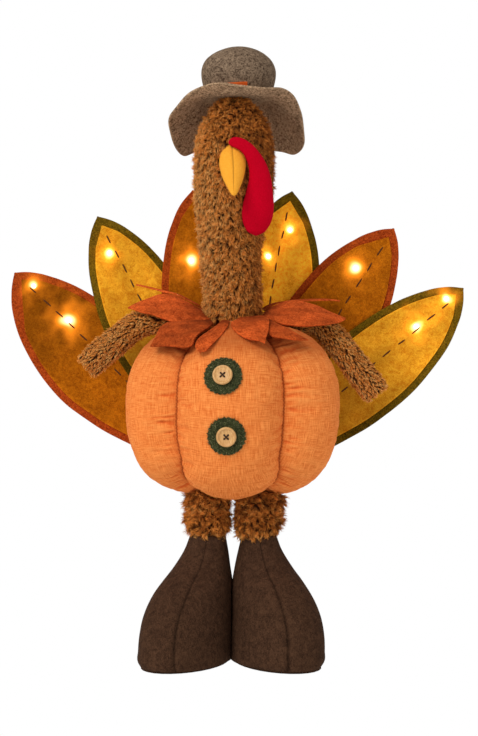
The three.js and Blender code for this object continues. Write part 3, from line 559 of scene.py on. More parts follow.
def simulated(name, points, faces, held, loose, plan):  # where the cloth comes to rest
    piece = addPiece(name, points, faces, None, None, None)
    pins = piece.vertex_groups.new(name="held")
    snug = piece.vertex_groups.new(name="snug")
    for i in np.nonzero(held)[0]:
        pins.add([int(i)], 1.0, "REPLACE")
    for i, share in enumerate(loose):
        snug.add([i], float(share), "REPLACE")
    cloth = piece.modifiers.new("cloth", "CLOTH")
    for key, value in plan["cloth"].items():
        setattr(cloth.settings, key, value)
    cloth.settings.effector_weights.gravity = 0
    scene = bpy.context.scene
    for moment in range(1, plan["frames"] + 1):
        scene.frame_set(moment)
    rested = piece.evaluated_get(bpy.context.evaluated_depsgraph_get()).data
    places = np.zeros(len(rested.vertices) * 3, np.float32)
    rested.vertices.foreach_get("co", places)
    scene.frame_set(1)
    bpy.data.objects.remove(piece)
    return figureSpot(places.reshape(-1, 3))


def finer(grid, times):  # the same surface with more rows and columns, smooth between the old ones
    rows, columns = grid.shape[:2]
    around = np.concatenate([grid[:, -3:], grid, grid[:, :4]], axis=1)
    at = np.arange(columns * times) / times + 3
    wide = smoothRead(np.arange(around.shape[1]), around.swapaxes(0, 1), at).swapaxes(0, 1)
    return smoothRead(np.arange(rows), wide, np.linspace(0, rows - 1, (rows - 1) * times + 1))


def softened(grid, reach):  # averaged down the rows with a bell that many rows wide
    bell = np.exp(-(np.arange(-2 * reach, 2 * reach + 1) / reach) ** 2)
    padded = np.pad(grid, ((2 * reach, 2 * reach), (0, 0), (0, 0)), mode="edge")
    shares = enumerate(bell / bell.sum())
    return np.sum([share * padded[step:step + len(grid)] for step, share in shares], axis=0)


def crowded(steps, plan):  # closer together by the seams
    return np.sign(steps) * (1 - (1 - np.abs(steps)) ** plan["crowding"])


def awayFromEnds(path, low, high):  # for each row, 0 near both ends of the path and 1 between
    return (smoothStep(path, low, high) * smoothStep(path[-1] - path, low, high))[:, None]


def pumpkinGrid(plan):
    lobes = plan["lobes"]
    columns = plan["columns"]
    rows = plan["rows"]
    half = plan["half"]
    power = 2 / plan["power"]
    across = crowded(np.arange(columns) / columns * 2 - 1, plan)
    lift = (np.linspace(0, 1, rows) - 0.5) * math.pi * plan["closing"]
    rise = np.sign(lift) * np.abs(np.sin(lift)) ** power
    spread = np.cos(lift) ** power
    meanHalf = (half[0] + half[1]) / 2
    strides = np.hypot(np.diff(rise) * half[2], np.diff(spread) * meanHalf)
    uneven = np.concatenate([[0], np.cumsum(strides)])
    path = np.linspace(0, uneven[-1], rows)
    rise = np.interp(path, uneven, rise)
    spread = np.interp(path, uneven, spread)
    halfLobe = spread * meanHalf * math.pi / lobes
    share = np.tile(across, lobes)[None, :] * np.ones((rows, 1))
    lobe = np.repeat(np.arange(lobes), columns)[None, :]
    distance = (1 - np.abs(share)) * halfLobe[:, None]
    bulge = np.cos(share * math.pi / 2)
    out = -plan["pinch"] * (1 - bulge ** plan["lobePower"])
    turns = (lobe + share / 2) * 2 * math.pi / lobes
    # the front lobe is the widest, and stays wide down to the bottom
    low = np.clip(-rise * 2 - 1, 0, 1)[:, None] ** 2
    turns = turns + (plan["wider"] + plan["lowWider"] * low) * np.sin(turns) + math.radians(plan["turn"])
    width = (half[0] + out) * spread[:, None]
    depth = (half[1] + out) * spread[:, None]
    grid = np.stack([
        plan["middle"][0] + width * np.sin(turns),
        plan["middle"][1] - depth * np.cos(turns),
        plan["middle"][2] + (half[2] - plan["dip"] * (1 - bulge)) * rise[:, None],
    ], axis=-1)
    grid = bend(grid, 60, 2.0, 1)
    flat = share * halfLobe[:, None] + lobe * plan["lobeGap"]
    return grid, distance, flat, path


def puckers(plan, distance, flat, path):  # how far the cloth stands out where the seam's thread gathers it
    lobe = flat / plan["lobeGap"]
    seam = lobe + np.sign(np.sin(lobe * 2 * np.pi)) * 5
    along = path[:, None] / plan["puckerPitch"] + 0 * flat
    uneven = wander(np.stack([along * 0.7, seam, distance / 60], axis=-1), 1, 61)
    strong = wander(np.stack([along * 0.5, seam, 0 * flat], axis=-1), 1, 63)
    strong = np.clip(0.7 + 1.6 * strong, 0.25, 1)
    ripple = (np.abs(np.sin((along + 1.3 * uneven) * np.pi)) ** 0.6 - 0.75) * strong  # narrow creases
    ripple *= plan["pucker"] * (1 - np.exp(-(distance / 2.5) ** 2))
    ripple *= np.exp(-(distance / (plan["puckerReach"] * (0.5 + 0.5 * strong))) ** 2)
    ripple[:, :plan["columns"]] *= 0.4
    return ripple * awayFromEnds(path, 10, 40)


def pressedOut(plan, grid, distance, path):  # the grid with its cloth simulated
    points, faces = closedTube(grid)
    held = distance < 0.01
    held[:5] = True
    held[-5:] = True
    slack = np.exp(-(distance / plan["looseReach"]) ** 2)
    slack[:, :plan["columns"]] *= plan["frontSlack"]
    slack *= awayFromEnds(path, 6, 40)
    held = np.append(held.ravel(), [True, True])
    slack = np.append(slack.ravel(), [0, 0])
    # a little unevenness for the folds to start from
    points[:-2] = bend(points[:-2], 6, 0.9, 21)
    return simulated("pumpkin cloth", points, faces, held, slack, plan)[:-2].reshape(grid.shape)


def makePumpkin(plan):
    grid, distance, flat, path = pumpkinGrid(plan)
    rows = np.arange(len(grid))
    grid = pressedOut(plan, grid, distance, path)
    grid = softened(grid, 1)
    soft = softened(grid, plan["softRows"])
    normals = sheetNormals(soft, True)
    facing = normals * (soft - np.array(plan["middle"]))
    outward = normals * np.sign(np.sum(facing, axis=-1, keepdims=True))
    fold = np.sum((grid - soft) * normals, axis=-1) * np.sign(np.sum(facing))
    ripple = puckers(plan, distance, flat, path)
    grid = soft + (grid - soft) * plan["foldGain"] + outward * ripple[..., None]
    fold = fold + ripple
    times = plan["fine"]
    grid = finer(grid, times)
    fineRows = np.linspace(0, rows[-1], grid.shape[0])
    halfLobe = np.interp(fineRows, rows, distance.max(axis=1))
    columns = plan["columns"] * times
    share = np.tile(crowded(np.arange(columns) / columns * 2 - 1, plan), plan["lobes"])
    lobe = np.repeat(np.arange(plan["lobes"]), columns)
    away = (1 - np.abs(share))[None, :] * halfLobe[:, None]
    along = np.interp(fineRows, rows, path)
    # the seam's stitches draw its line to and fro
    tooth = np.sin(along * 2 * np.pi / plan["toothPitch"])[:, None] * np.exp(-(away / 1.5) ** 2)
    sideways = unit(np.roll(grid, -1, axis=1) - np.roll(grid, 1, axis=1))
    grid = grid + sideways * (tooth * plan["toothAcross"])[..., None]
    carried = {
        "weaveAcross": share[None, :] * halfLobe[:, None] + lobe * plan["lobeGap"],
        "weaveAlong": along[:, None] + 0 * away,
        # seamNear darkens the linen by the seams as painted shade
        "seamNear": np.exp(-away / 7.0),
        # seamLine is a painted shadow line along each seam
        "seamLine": np.exp(-(away / 0.9) ** 2),
        # topNear is painted shade at the top, under the collar
        "topNear": 1 - smoothStep(along[-1] - along, 88, 122)[:, None] + 0 * away,
        # fold also sets painted shade in the creases and a painted highlight on the ridges
        "fold": finer(fold[..., None], times)[..., 0],
    }
    piece = addTube("pumpkin_cover", grid, linenMaterial(plan), "torso", "linen", carried)
    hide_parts("pumpkin_body")
    return piece


pumpkin = makePumpkin(pumpkinPlan)
print("pumpkin sewn")


# Felts: wool felt with mixed fibres, in the figure's colours

def feltMaterial(
        name, light, dark, fleck=None, glows=None, grain=1.0, mottle=0.16, blotch=0.35, shades=False):
    def make(nodes):
        where = nodes.place()
        fibre = nodes.noise(where, 1.5 * grain, 4.0, 0.72, 1.4)
        cloud = nodes.noise(where, 6.0 * grain, 3.0, 0.6, 0.8)
        patch = nodes.noise(nodes.stretched(where, (1, 1, 0.6)), 38.0, 2.0)
        colour = nodes.mix((fibre * (1 - blotch) + cloud * blotch).ramp(0.36, 0.64), dark, light)
        if fleck:
            hairs = nodes.noise(where, 0.9 * grain, 3.0, 0.8, 2.2).ramp(0.58, 0.72)
            colour = nodes.mix(hairs * 0.55, colour, fleck)
        amount = 1 - mottle / 2 + patch * mottle
        if shades:
            amount = amount * nodes.carried("shade")
        colour = nodes.shaded(colour, amount)
        made = {"Base Color": colour, "Normal": nodes.bumped(fibre * 0.6 + cloud * 0.4, 0.5 * grain)}
        # painted light: near its lamps the felt itself glows with their warm light, as emission
        if glows:
            near = nodes.carried("lampNear")
            halo = nodes.mix(near.ramp(0.45, 0.9), glows["far"], glows["near"])
            made["Emission Color"] = nodes.shaded(halo, near ** glows["fall"])
        return made
    fixed = {"Emission_Strength": glows["strength"]} if glows else {}
    return surface(name, make, Roughness=1.0, Specular_IOR_Level=0.04, **fixed)


# Head and neck: one fur cover, of which this is the cloth that the pile stands on

neckPlan = {
    "radius": 41,
    "foot": 400.3,
    "height": 254.7,
    "upShares": [0, 0.08, 0.31, 0.43, 0.54, 0.66, 0.72, 0.813, 0.878, 0.941, 0.973, 0.99, 1],
    "wideShares": [0.695, 0.705, 0.756, 0.85, 0.976, 1, 1, 0.944, 0.8, 0.56, 0.354, 0.2, 0.02],
    "leanShares": [0, 0, -0.06, -0.03, 0.03, 0.04, 0.04, 0.05, 0.06, 0.06, 0.06, 0.06, 0.06],
    "rows": 150,
    "columns": 96,
}


def neckGrid(plan):
    up = np.linspace(0, 1, plan["rows"])
    up = 1 - (1 - up) ** 1.4
    radius = smoothRead(plan["upShares"], plan["wideShares"], up) * plan["radius"]
    lean = smoothRead(plan["upShares"], plan["leanShares"], up) * plan["radius"]
    return upright(lean[:, None], 0, radius, plan["foot"] + up * plan["height"], plan["columns"])


# Beak: two halves of golden felt, stuffed and sewn down the middle

beakPlan = {
    "long": 66,
    "half": (15, 13),
    "root": (0, -35, 585),
    "pitch": 49.5,
    "aside": 2,
    "inset": 0.12,
    "columns": 72,
    "sewn": 0.075,
    "alongShares": [0, 0.14, 0.3, 0.5, 0.7, 0.86, 0.95, 0.985, 1],
    "wideShares": [0.78, 0.95, 1, 0.88, 0.65, 0.4, 0.25, 0.15, 0.03],
    "light": linear(250, 178, 62),
    "dark": linear(234, 150, 36),
}


def makeBeak(plan):
    pitch = math.radians(plan["pitch"])
    along = unit(np.array([plan["aside"] / plan["long"], -math.cos(pitch), -math.sin(pitch)]))
    across = unit(np.array([1.0, 0, 0]) - along * along[0])
    deep = np.cross(across, along)
    root = np.array(plan["root"]) - along * plan["long"] * plan["inset"]
    turn = spun(plan["columns"])
    steps = np.linspace(0, 1, 70)[:, None]
    wide = smoothRead(plan["alongShares"], plan["wideShares"], steps[:, 0])[:, None]
    # sewn lines run along the top and the underside
    sewn = seamAt(turn, 1.5 * np.pi, plan["sewn"]) + seamAt(turn, 0.5 * np.pi, plan["sewn"])
    centres = root + along * steps * plan["long"] * (1 + plan["inset"])
    grid = ringsAbout(
        centres, across * wide * plan["half"][0], deep * wide * plan["half"][1], plan["columns"],
        1 - plan["sewn"] * sewn)
    seam = seamAt(turn, 1.5 * np.pi, 0.06) * np.ones((len(steps), 1))

    def make(nodes):
        where = nodes.place()
        fibre = nodes.noise(where, 1.1, 4.0, 0.7, 1.2)
        colour = nodes.mix(fibre.ramp(0.3, 0.7), plan["dark"], plan["light"])
        colour = nodes.shaded(colour, 1.0 - nodes.carried("seamNear") * 0.45)
        return {"Base Color": colour, "Normal": nodes.bumped(fibre, 0.3)}
    felt = surface("gold felt", make, Roughness=0.95, Specular_IOR_Level=0.08)
    piece = addTube("beak_cover", bend(grid, 22, 0.7, 3), felt, "torso", "gold_felt", {"seamNear": seam})
    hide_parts("beak")


# Snood: a stuffed red flap that starts over the beak and hangs at the viewer's right

snoodPlan = {
    "middles": [  # across, down, half width in the photograph's pixels, and depth in millimetres
        (228.6, 142.4, 0.5, -44), (230.2, 142.2, 3.1, -46), (233.5, 142.0, 4.9, -48), (239, 143.2, 5.7, -50),
        (245.7, 147.2, 6.1, -51), (253.2, 156.6, 7.3, -52), (258.2, 168.4, 9.2, -51), (260, 180, 11, -50),
        (259.6, 192, 13, -47), (258.4, 206, 15.1, -44), (257, 218, 14.7, -42), (256.2, 227.5, 11.2, -41),
        (256, 233, 6.6, -41), (256, 235.6, 1, -41),
    ],
    "flat": 0.56,
    "edge": 0.03,
    "columns": 56,
    "light": linear(200, 0, 36),
    "dark": linear(166, 0, 20),
}


def makeSnood(plan):
    points = np.array([fromPhoto(a, d, depth) for a, d, _, depth in plan["middles"]])
    half = np.array([h * pixelSize(depth) for _, _, h, depth in plan["middles"]])
    walk = walked(points)
    steps = np.linspace(0, walk[-1], 110)
    centres = smoothRead(walk, points, steps)
    wide = smoothRead(walk, half, steps)[:, None]
    runs = unit(np.gradient(centres, axis=0))
    across = unit(np.cross([0, -1.0, 0], runs))
    grid = ringsAbout(centres, across * wide, np.cross(runs, across) * wide * plan["flat"], plan["columns"])
    turn = spun(plan["columns"])
    edge = np.cos(turn) * np.exp(-(np.sin(turn) / 0.1) ** 2)  # the turned seam round the edge
    grid = grid + plan["edge"] * edge[:, None] * (across * wide)[:, None]

    def make(nodes):
        where = nodes.place()
        fibre = nodes.noise(where, 1.0, 4.0, 0.7, 1.0)
        cloud = nodes.noise(where, 22.0, 2.0)
        colour = nodes.mix(fibre.ramp(0.25, 0.75), plan["dark"], plan["light"])
        colour = nodes.shaded(colour, 0.92 + cloud * 0.16)
        return {"Base Color": colour, "Normal": nodes.bumped(fibre, 0.22)}
    felt = surface("red felt", make, Roughness=0.95, Specular_IOR_Level=0.05)
    piece = addTube("snood_cover", grid, felt, "snood_flap", "red_felt")
    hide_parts("snood")
    return piece


makeBeak(beakPlan)
snood = makeSnood(snoodPlan)
print("beak and snood sewn")


# Hat: heathered felt crown, orange band and a floppy brim

hatPlan = {
    "middle": (7, 8),
    "profile": [  # radius and height, from the foot to the top
        (37.2, 656.4), (38.4, 660), (39.8, 665), (41.3, 671), (42.6, 677), (43.2, 682.8), (42.8, 688.2),
        (41, 694), (37.8, 699.4), (32.8, 704.2), (26.6, 708.4), (19, 711.9), (11.5, 714.2), (5, 715),
        (0.4, 715),
    ],
    "looseFrom": (658, 690),
    "headTop": 655,
    "inner": 11,
    "level": 37,
    "reach": 85,
    "drop": 58,
    "waveFrom": (38, 80),
    "thick": 2.4,
    "bearings": [
        -180, -160, -142, -128, -118, -102, -90, -68, -48, -22, 0, 29, 50, 68, 82, 95, 105, 128, 142, 160,
        180],
    "reachShares": [
        0.83, 0.87, 0.99, 1, 0.97, 0.95, 0.945, 0.9, 0.83, 0.71, 0.7, 0.72, 0.785, 0.82, 0.86, 0.9, 0.94,
        1, 0.99, 0.87, 0.83],
    "dropShares": [
        0.78, 0.8, 0.88, 1, 0.93, 0.65, 0.49, 0.22, -0.02, -0.158, -0.097, -0.05, -0.05, 0.07, 0.29, 0.6,
        0.78, 0.97, 0.88, 0.8, 0.78],
    "bandEnds": (-52, 14),
    "bandRise": (657, 667.6),
    "bandOut": 1.1,
    "bandThick": 1.5,
    # light, dark and fleck; the crown and the brim are one felt, and their two sets of colours differ as
    # painted light and shade
    "crownColours": [linear(150, 126, 102), linear(64, 48, 38), linear(196, 172, 140)],
    "brimColours": [linear(198, 164, 128), linear(78, 58, 42), linear(230, 196, 158)],
    "bandColours": [linear(226, 106, 48), linear(190, 74, 26)],
}


def turnedProfile(profile, count):  # radii and heights at even steps along a profile
    walk = walked(profile)
    return smoothRead(walk, profile, np.linspace(0, walk[-1], count)).T


def aboutHat(plan, radius, bearing, height):  # bearings start at the front
    return np.stack([
        plan["middle"][0] + radius * np.sin(bearing),
        plan["middle"][1] - radius * np.cos(bearing),
        height,
    ], axis=-1)


def makeCrown(plan, felt):
    radius, height = turnedProfile(np.array(plan["profile"]), 96)
    grid = upright(plan["middle"][0], plan["middle"][1], radius, height, 112)
    loose = smoothStep(height, *plan["looseFrom"])[:, None, None]
    grid = grid + (bend(grid, 34, 1.0, 5) - grid) * loose
    crown = addTube("hat_crown_felt", grid, felt, "torso", "grey_felt")
    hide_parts("hat_crown")


def makeBrim(plan, felt):
    columns = 200
    bearing = np.arange(columns) / columns * 360 - 180
    reach = smoothRead(plan["bearings"], plan["reachShares"], bearing) * plan["reach"]
    drop = smoothRead(plan["bearings"], plan["dropShares"], bearing) * plan["drop"]
    step = np.linspace(0, 1, 34)[:, None]
    radius = plan["inner"] + (reach - plan["inner"]) * step ** 0.8
    out = np.clip((radius - plan["level"]) / (reach - plan["level"]), 0, 1)
    grid = aboutHat(plan, radius, np.radians(bearing), plan["headTop"] - drop * out ** 1.3)
    grid = grid + (bend(grid, 36, 2.2, 8) - grid) * smoothStep(radius, *plan["waveFrom"])[..., None]
    brim = addSheet("hat_brim_felt", grid, plan["thick"], felt, "torso", "grey_felt", wrap=True)
    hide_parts("hat_brim")
    sheetArea(grid, True)


def makeBand(plan, felt):
    profile = np.array(plan["profile"][:7])
    ends = np.radians(np.linspace(*plan["bandEnds"], 60))
    rise = np.linspace(*plan["bandRise"], 8)[:, None]
    out = np.interp(rise, profile[:, 1], profile[:, 0]) + plan["bandOut"]
    grid = aboutHat(plan, out, ends, rise + 0.6 * np.sin(ends * 5))
    band = addSheet("hat_band_felt", grid, plan["bandThick"], felt, "torso", "rust_felt")
    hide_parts("hat_band")
    flatSize(grid)
    sheetArea(grid)


marl = {"grain": 1.9, "mottle": 0.3, "blotch": 0.12}
# lit and shaded copies of one felt: the crown's and the brim's colours carry painted light and shade
makeCrown(hatPlan, feltMaterial("heather felt", *hatPlan["crownColours"], **marl))
makeBrim(hatPlan, feltMaterial("heather felt brim", *hatPlan["brimColours"], **marl))
makeBand(hatPlan, feltMaterial("band felt", *hatPlan["bandColours"], grain=0.8))
print("hat made")


# Boots: stuffed dark felt, with a sewn line down each side of the front

bootPlan = {
    "height": bootTops,
    "foot": floorLevel + 3.3,
    "halfWidth": 52,
    "heel": 41,
    "turn": 30,
    "lean": -2.4,
    "middleX": 1,
    "upShares": [0, 0.034, 0.111, 0.254, 0.387, 0.525, 0.632, 0.744, 0.877, 1],
    "wideShares": [0.99, 1.03, 1.035, 1.02, 0.975, 0.878, 0.775, 0.63, 0.49, 0.39],
    "middleShares": [0.95, 0.965, 0.965, 0.96, 0.935, 0.857, 0.774, 0.678, 0.592, 0.56],
    "heelShares": [0.9, 0.97, 1, 1, 0.98, 0.93, 0.87, 0.77, 0.64, 0.5],
    "slimShares": [0.66, 0.66, 0.66, 0.67, 0.7, 0.74, 0.8, 0.88, 0.95, 1],
    "light": linear(84, 58, 41),
    "dark": linear(40, 25, 17),
    "fleck": linear(146, 108, 76),
    "apart": 0.3,
    "gap": 0.04,
    "wave": 1.2,
    "wavePitch": 8,
    "seams": {"left": 62, "right": 118},
    "seamDepth": 0.035,
    "columns": 128,
}


def makeBoot(plan, name, side, material):
    turn = math.radians(plan["turn"])
    toe = np.array([side * math.sin(turn), -math.cos(turn), 0])
    cross = np.array([math.cos(turn), side * math.sin(turn), 0])
    up = np.linspace(0, 1, 96)
    half, middle, heel, slim = (
        smoothRead(plan["upShares"], plan[key], up)
        for key in ("wideShares", "middleShares", "heelShares", "slimShares"))
    long = half * plan["halfWidth"] / np.hypot(math.sin(turn), slim * math.cos(turn))
    deep = long * np.hypot(math.cos(turn), slim * math.sin(turn))
    tall = plan["height"] - plan["foot"]
    centres = np.stack([
        plan["middleX"] + plan["lean"] * (1 - up) + side * (middle * plan["halfWidth"] + plan["apart"]),
        heel * plan["heel"] - deep,
        plan["foot"] + up * tall,
    ], axis=-1)
    grid = ringsAbout(centres, cross * (long * slim)[:, None], toe * long[:, None], plan["columns"])
    line = math.radians(plan["seams"][name])
    around = spun(plan["columns"])
    seams = seamAt(around, line, 0.03) + seamAt(around, line + math.pi, 0.03) + 0 * grid[..., 0]
    inside = grid.mean(axis=1, keepdims=True)
    pull = plan["seamDepth"] * seams * smoothStep(1 - up, 0.1, 0.4)[:, None]
    grid = grid - (grid - inside) * pull[..., None] * (1, 1, 0)
    grid = bend(grid, 34, 1.1, 12 + side)
    grid[..., 2] = np.maximum(grid[..., 2], plan["foot"])
    share = (grid[..., 2] - plan["foot"]) / tall
    # the boots lean on each other, along a face that waves from front to back
    touch = plan["middleX"] + plan["lean"] * (1 - share) + side * plan["gap"]
    touch += plan["wave"] * np.sin(grid[..., 1] / plan["wavePitch"])
    grid[..., 0] = touch + side * np.maximum((grid[..., 0] - touch) * side, 0)
    piece = addTube(f"boot_felt_{name}", grid, material, f"{name}_foot", "boot_felt", {"seamNear": seams})
    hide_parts(f"boot_{name}")


def bootMaterial(plan):
    def make(nodes):
        where = nodes.place()
        fibre = nodes.noise(nodes.stretched(where, (1, 1, 0.55)), 1.2, 4.0, 0.75, 1.2)
        cloud = nodes.noise(where, 7.0, 3.0, 0.6, 0.6)
        hairs = nodes.noise(where, 0.8, 3.0, 0.8, 2.4).ramp(0.6, 0.74)
        colour = nodes.mix((fibre * 0.7 + cloud * 0.3).ramp(0.34, 0.68), plan["dark"], plan["light"])
        colour = nodes.mix(hairs * 0.55, colour, plan["fleck"])
        colour = nodes.shaded(colour, 1.0 - nodes.carried("seamNear") * 0.5)
        return {"Base Color": colour, "Normal": nodes.bumped(fibre * 0.7 + cloud * 0.3, 0.5)}
    return surface("boot felt", make, Roughness=1.0, Specular_IOR_Level=0.04)


bootFelt = bootMaterial(bootPlan)
makeBoot(bootPlan, "left", -1, bootFelt)
makeBoot(bootPlan, "right", 1, bootFelt)
print("boots made")


# Collar: nine leaves of rust felt. Each edge runs from root to tip, as across and down in the
# photograph's pixels and depth in millimetres; the cup is towards the viewer

leafPlan = {
    "onArms": {2: ("left", -48, -92), 7: ("right", 54, 98)},
    "thick": 1.8,
    "rows": 56,
    "columns": 17,
    "clear": 1.5,
    "crumple": 0.9,
    # each leaf's painted shade: a leaf that lies in shade is darker
    "shadeTones": [0.95, 1.0, 0.68, 0.95, 0.98, 0.8, 0.93, 0.95, 0.7],
    "light": linear(224, 100, 42),
    "dark": linear(138, 46, 12),
    "fleck": linear(240, 134, 70),
    "leaves": [
        {"cup": 0.5, "edges": [
            [(204, 309, 30), (190, 300, 52), (172, 293, 66), (154, 289, 66), (136.4, 285, 60)],
            [(206, 311, 12), (190, 300.5, 16), (172, 293.5, 30), (154, 289.5, 48), (136.4, 285, 60)]]},
        {"cup": 3.0, "edges": [
            [(206, 312, 14), (201, 309.5, 14), (185, 301, 14), (173.6, 295.3, 16), (162.8, 295.3, 14),
             (145.2, 299.9, 8), (135.3, 304.5, 0), (128, 308.7, -4)],
            [(211, 319, -20), (204.2, 320.2, -24), (188.9, 321.5, -26), (169.7, 321.7, -24),
             (162.8, 319, -20), (152.9, 314.8, -16), (140.7, 312.9, -10), (128, 308.7, -4)]]},
        {"cup": 4.0, "edges": [
            [(211, 319.5, -22), (204, 320.2, -30), (178, 322, -34), (167.4, 323.2, -36), (161.3, 327.4, -42),
             (157.5, 333.6, -52), (150.9, 345.8, -66)],
            [(214, 322.8, -34), (205, 329.7, -62), (196.5, 338, -78), (193.4, 345.2, -82), (176, 346.6, -80),
             (166, 346, -74), (150.9, 345.8, -66)]]},
        {"cup": 4.5, "edges": [
            [(222, 321, -40), (215.6, 326.5, -58), (208, 331, -66), (202, 336.5, -78), (196.5, 343.5, -86),
             (195.4, 347.3, -90), (199, 352.3, -95)],
            [(229, 321.5, -42), (228, 325, -52), (219.5, 336.6, -80), (211.8, 345, -90), (203.4, 351.6, -96),
             (199, 352.3, -95)]]},
        {"cup": 3.5, "edges": [
            [(240, 317.5, -34), (236, 320, -40), (230.6, 325, -58), (238.8, 333.5, -80),
             (250, 339.2, -88), (259, 341, -92), (264.8, 343.3, -93)],
            [(262, 316, -30), (267.3, 318, -36), (268.6, 320.8, -48), (268.4, 327, -66),
             (267.9, 332, -76), (265.6, 339, -88), (264.8, 343.3, -93)]]},
        {"cup": 4.0, "edges": [
            [(264, 316, -26), (269.4, 319.8, -36), (281.6, 325.9, -52), (291.8, 331, -60),
             (308.2, 340.4, -66)],
            [(262, 322, -40), (267, 330, -64), (272, 336.4, -76), (288.8, 338.6, -76), (308.2, 340.4, -66)]]},
        {"cup": 3.0, "edges": [
            [(258, 315, 12), (262.2, 313.7, 14), (271.4, 307, 16), (280.6, 303, 16), (289.8, 300.9, 16),
             (302, 301.9, 15), (317.3, 306.5, 12), (332.7, 313.7, 5), (345.4, 318.8, -3)],
            [(256, 318.5, -22), (270.4, 319.5, -30), (281.6, 324.9, -34), (291.8, 326.4, -32),
             (303, 326.4, -30), (315.3, 325.4, -26), (332.7, 323.4, -16), (340.8, 321.8, -8),
             (345.4, 318.8, -3)]]},
        {"cup": 0.5, "edges": [
            [(262, 309, 30), (276, 303, 50), (292, 300.7, 66), (307, 299.6, 72), (322.4, 299.6, 70),
             (340, 300.9, 61)],
            [(264, 311, 12), (276, 304, 20), (292, 301.2, 30), (307, 300.2, 38), (322.4, 300.1, 48),
             (340, 300.9, 61)]]},
        {"cup": 0.5, "edges": [
            [(222, 318.4, 27), (217, 309, 48), (222, 303, 64), (238.2, 298.2, 78)],
            [(243, 318, 27), (258, 309, 48), (252, 303, 64), (238.2, 298.2, 78)]]},
    ],
}


def outOf(grid, piece, clear, towards):  # points that are nearer to the piece than clear move away
    tree = BVHTree.FromObject(piece, bpy.context.evaluated_depsgraph_get())
    points = grid.reshape(-1, 3).copy()
    for i, point in enumerate(points):
        for _ in range(4):
            world = Vector(sceneSpot(point))
            spot, normal, _, _ = tree.find_nearest(world)
            gap = (world - spot).dot(normal) / mm
            if gap >= clear:
                break
            way = unit(np.asarray(towards, float) - point)
            slope = max(float(np.dot(way, normal)), 0.3)
            point = point + way * (clear - gap) / slope
        points[i] = point
    return points.reshape(grid.shape)


def makeLeaves(plan):
    felt = feltMaterial(
        "leaf felt", plan["light"], plan["dark"], plan["fleck"], grain=0.95, mottle=0.5, blotch=0.3,
        shades=True)
    made = []
    for i, leaf in enumerate(plan["leaves"]):
        edges = []
        steps = np.linspace(0, 1, plan["rows"])
        for edge in leaf["edges"]:
            points = np.array([fromPhoto(*point) for point in edge])
            walk = walked(points)
            edges.append(smoothRead(walk / walk[-1], points, steps))
        share = np.linspace(0, 1, plan["columns"])[None, :, None]
        grid = edges[0][:, None] * (1 - share) + edges[1][:, None] * share
        grid[-1] += (share[0] - 0.5) * 0.6 * unit(edges[1][-4] - edges[0][-4])
        grid[..., 1] -= leaf["cup"] * np.sin(np.pi * share[..., 0]) * np.sin(np.pi * steps[:, None] ** 0.8)
        grid = bend(grid, 26, 1.6, 40 + i)
        crease = wander(grid * (0.5, 1, 1), 9, 60 + i)
        grid[..., 1] -= crease * plan["crumple"]
        grid = outOf(grid, pumpkin, plan["clear"], stagePlan["eye"])
        # painted shade and highlight: each leaf is darker towards its root and in its creases, lighter on its
        # crumples, and has a painted highlight along its two long edges
        fromRoot = np.linalg.norm(grid - grid[:1].mean(axis=1, keepdims=True), axis=-1)
        shade = plan["shadeTones"][i] * (1 - 0.6 * np.exp(-(fromRoot / 24) ** 2)) * (1 + 0.4 * crease)
        shade[:, [0, -1]] *= 1.2
        body = None if i + 1 in plan["onArms"] else "torso"
        piece = addSheet(
            f"collar_felt_{i + 1}", grid, plan["thick"], felt, body, "rust_felt", carried={"shade": shade})
        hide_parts(f"collar_leaf_{i + 1}")
        flatSize(grid)
        flatArea(grid)
        if i + 1 in plan["onArms"]:
            side, start, end = plan["onArms"][i + 1]
            start, end = (tuple(sceneSpot([across, 0, 400])) for across in (start, end))
            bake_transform(piece, "torso", f"{side}_arm", start, end)
        made.append(piece)
    return made


collar = makeLeaves(leafPlan)
print("collar laid")


# Tail: six felt feathers in a fan, each a front felt on a wider back felt, with a running
# stitch down the middle and two warm lamps

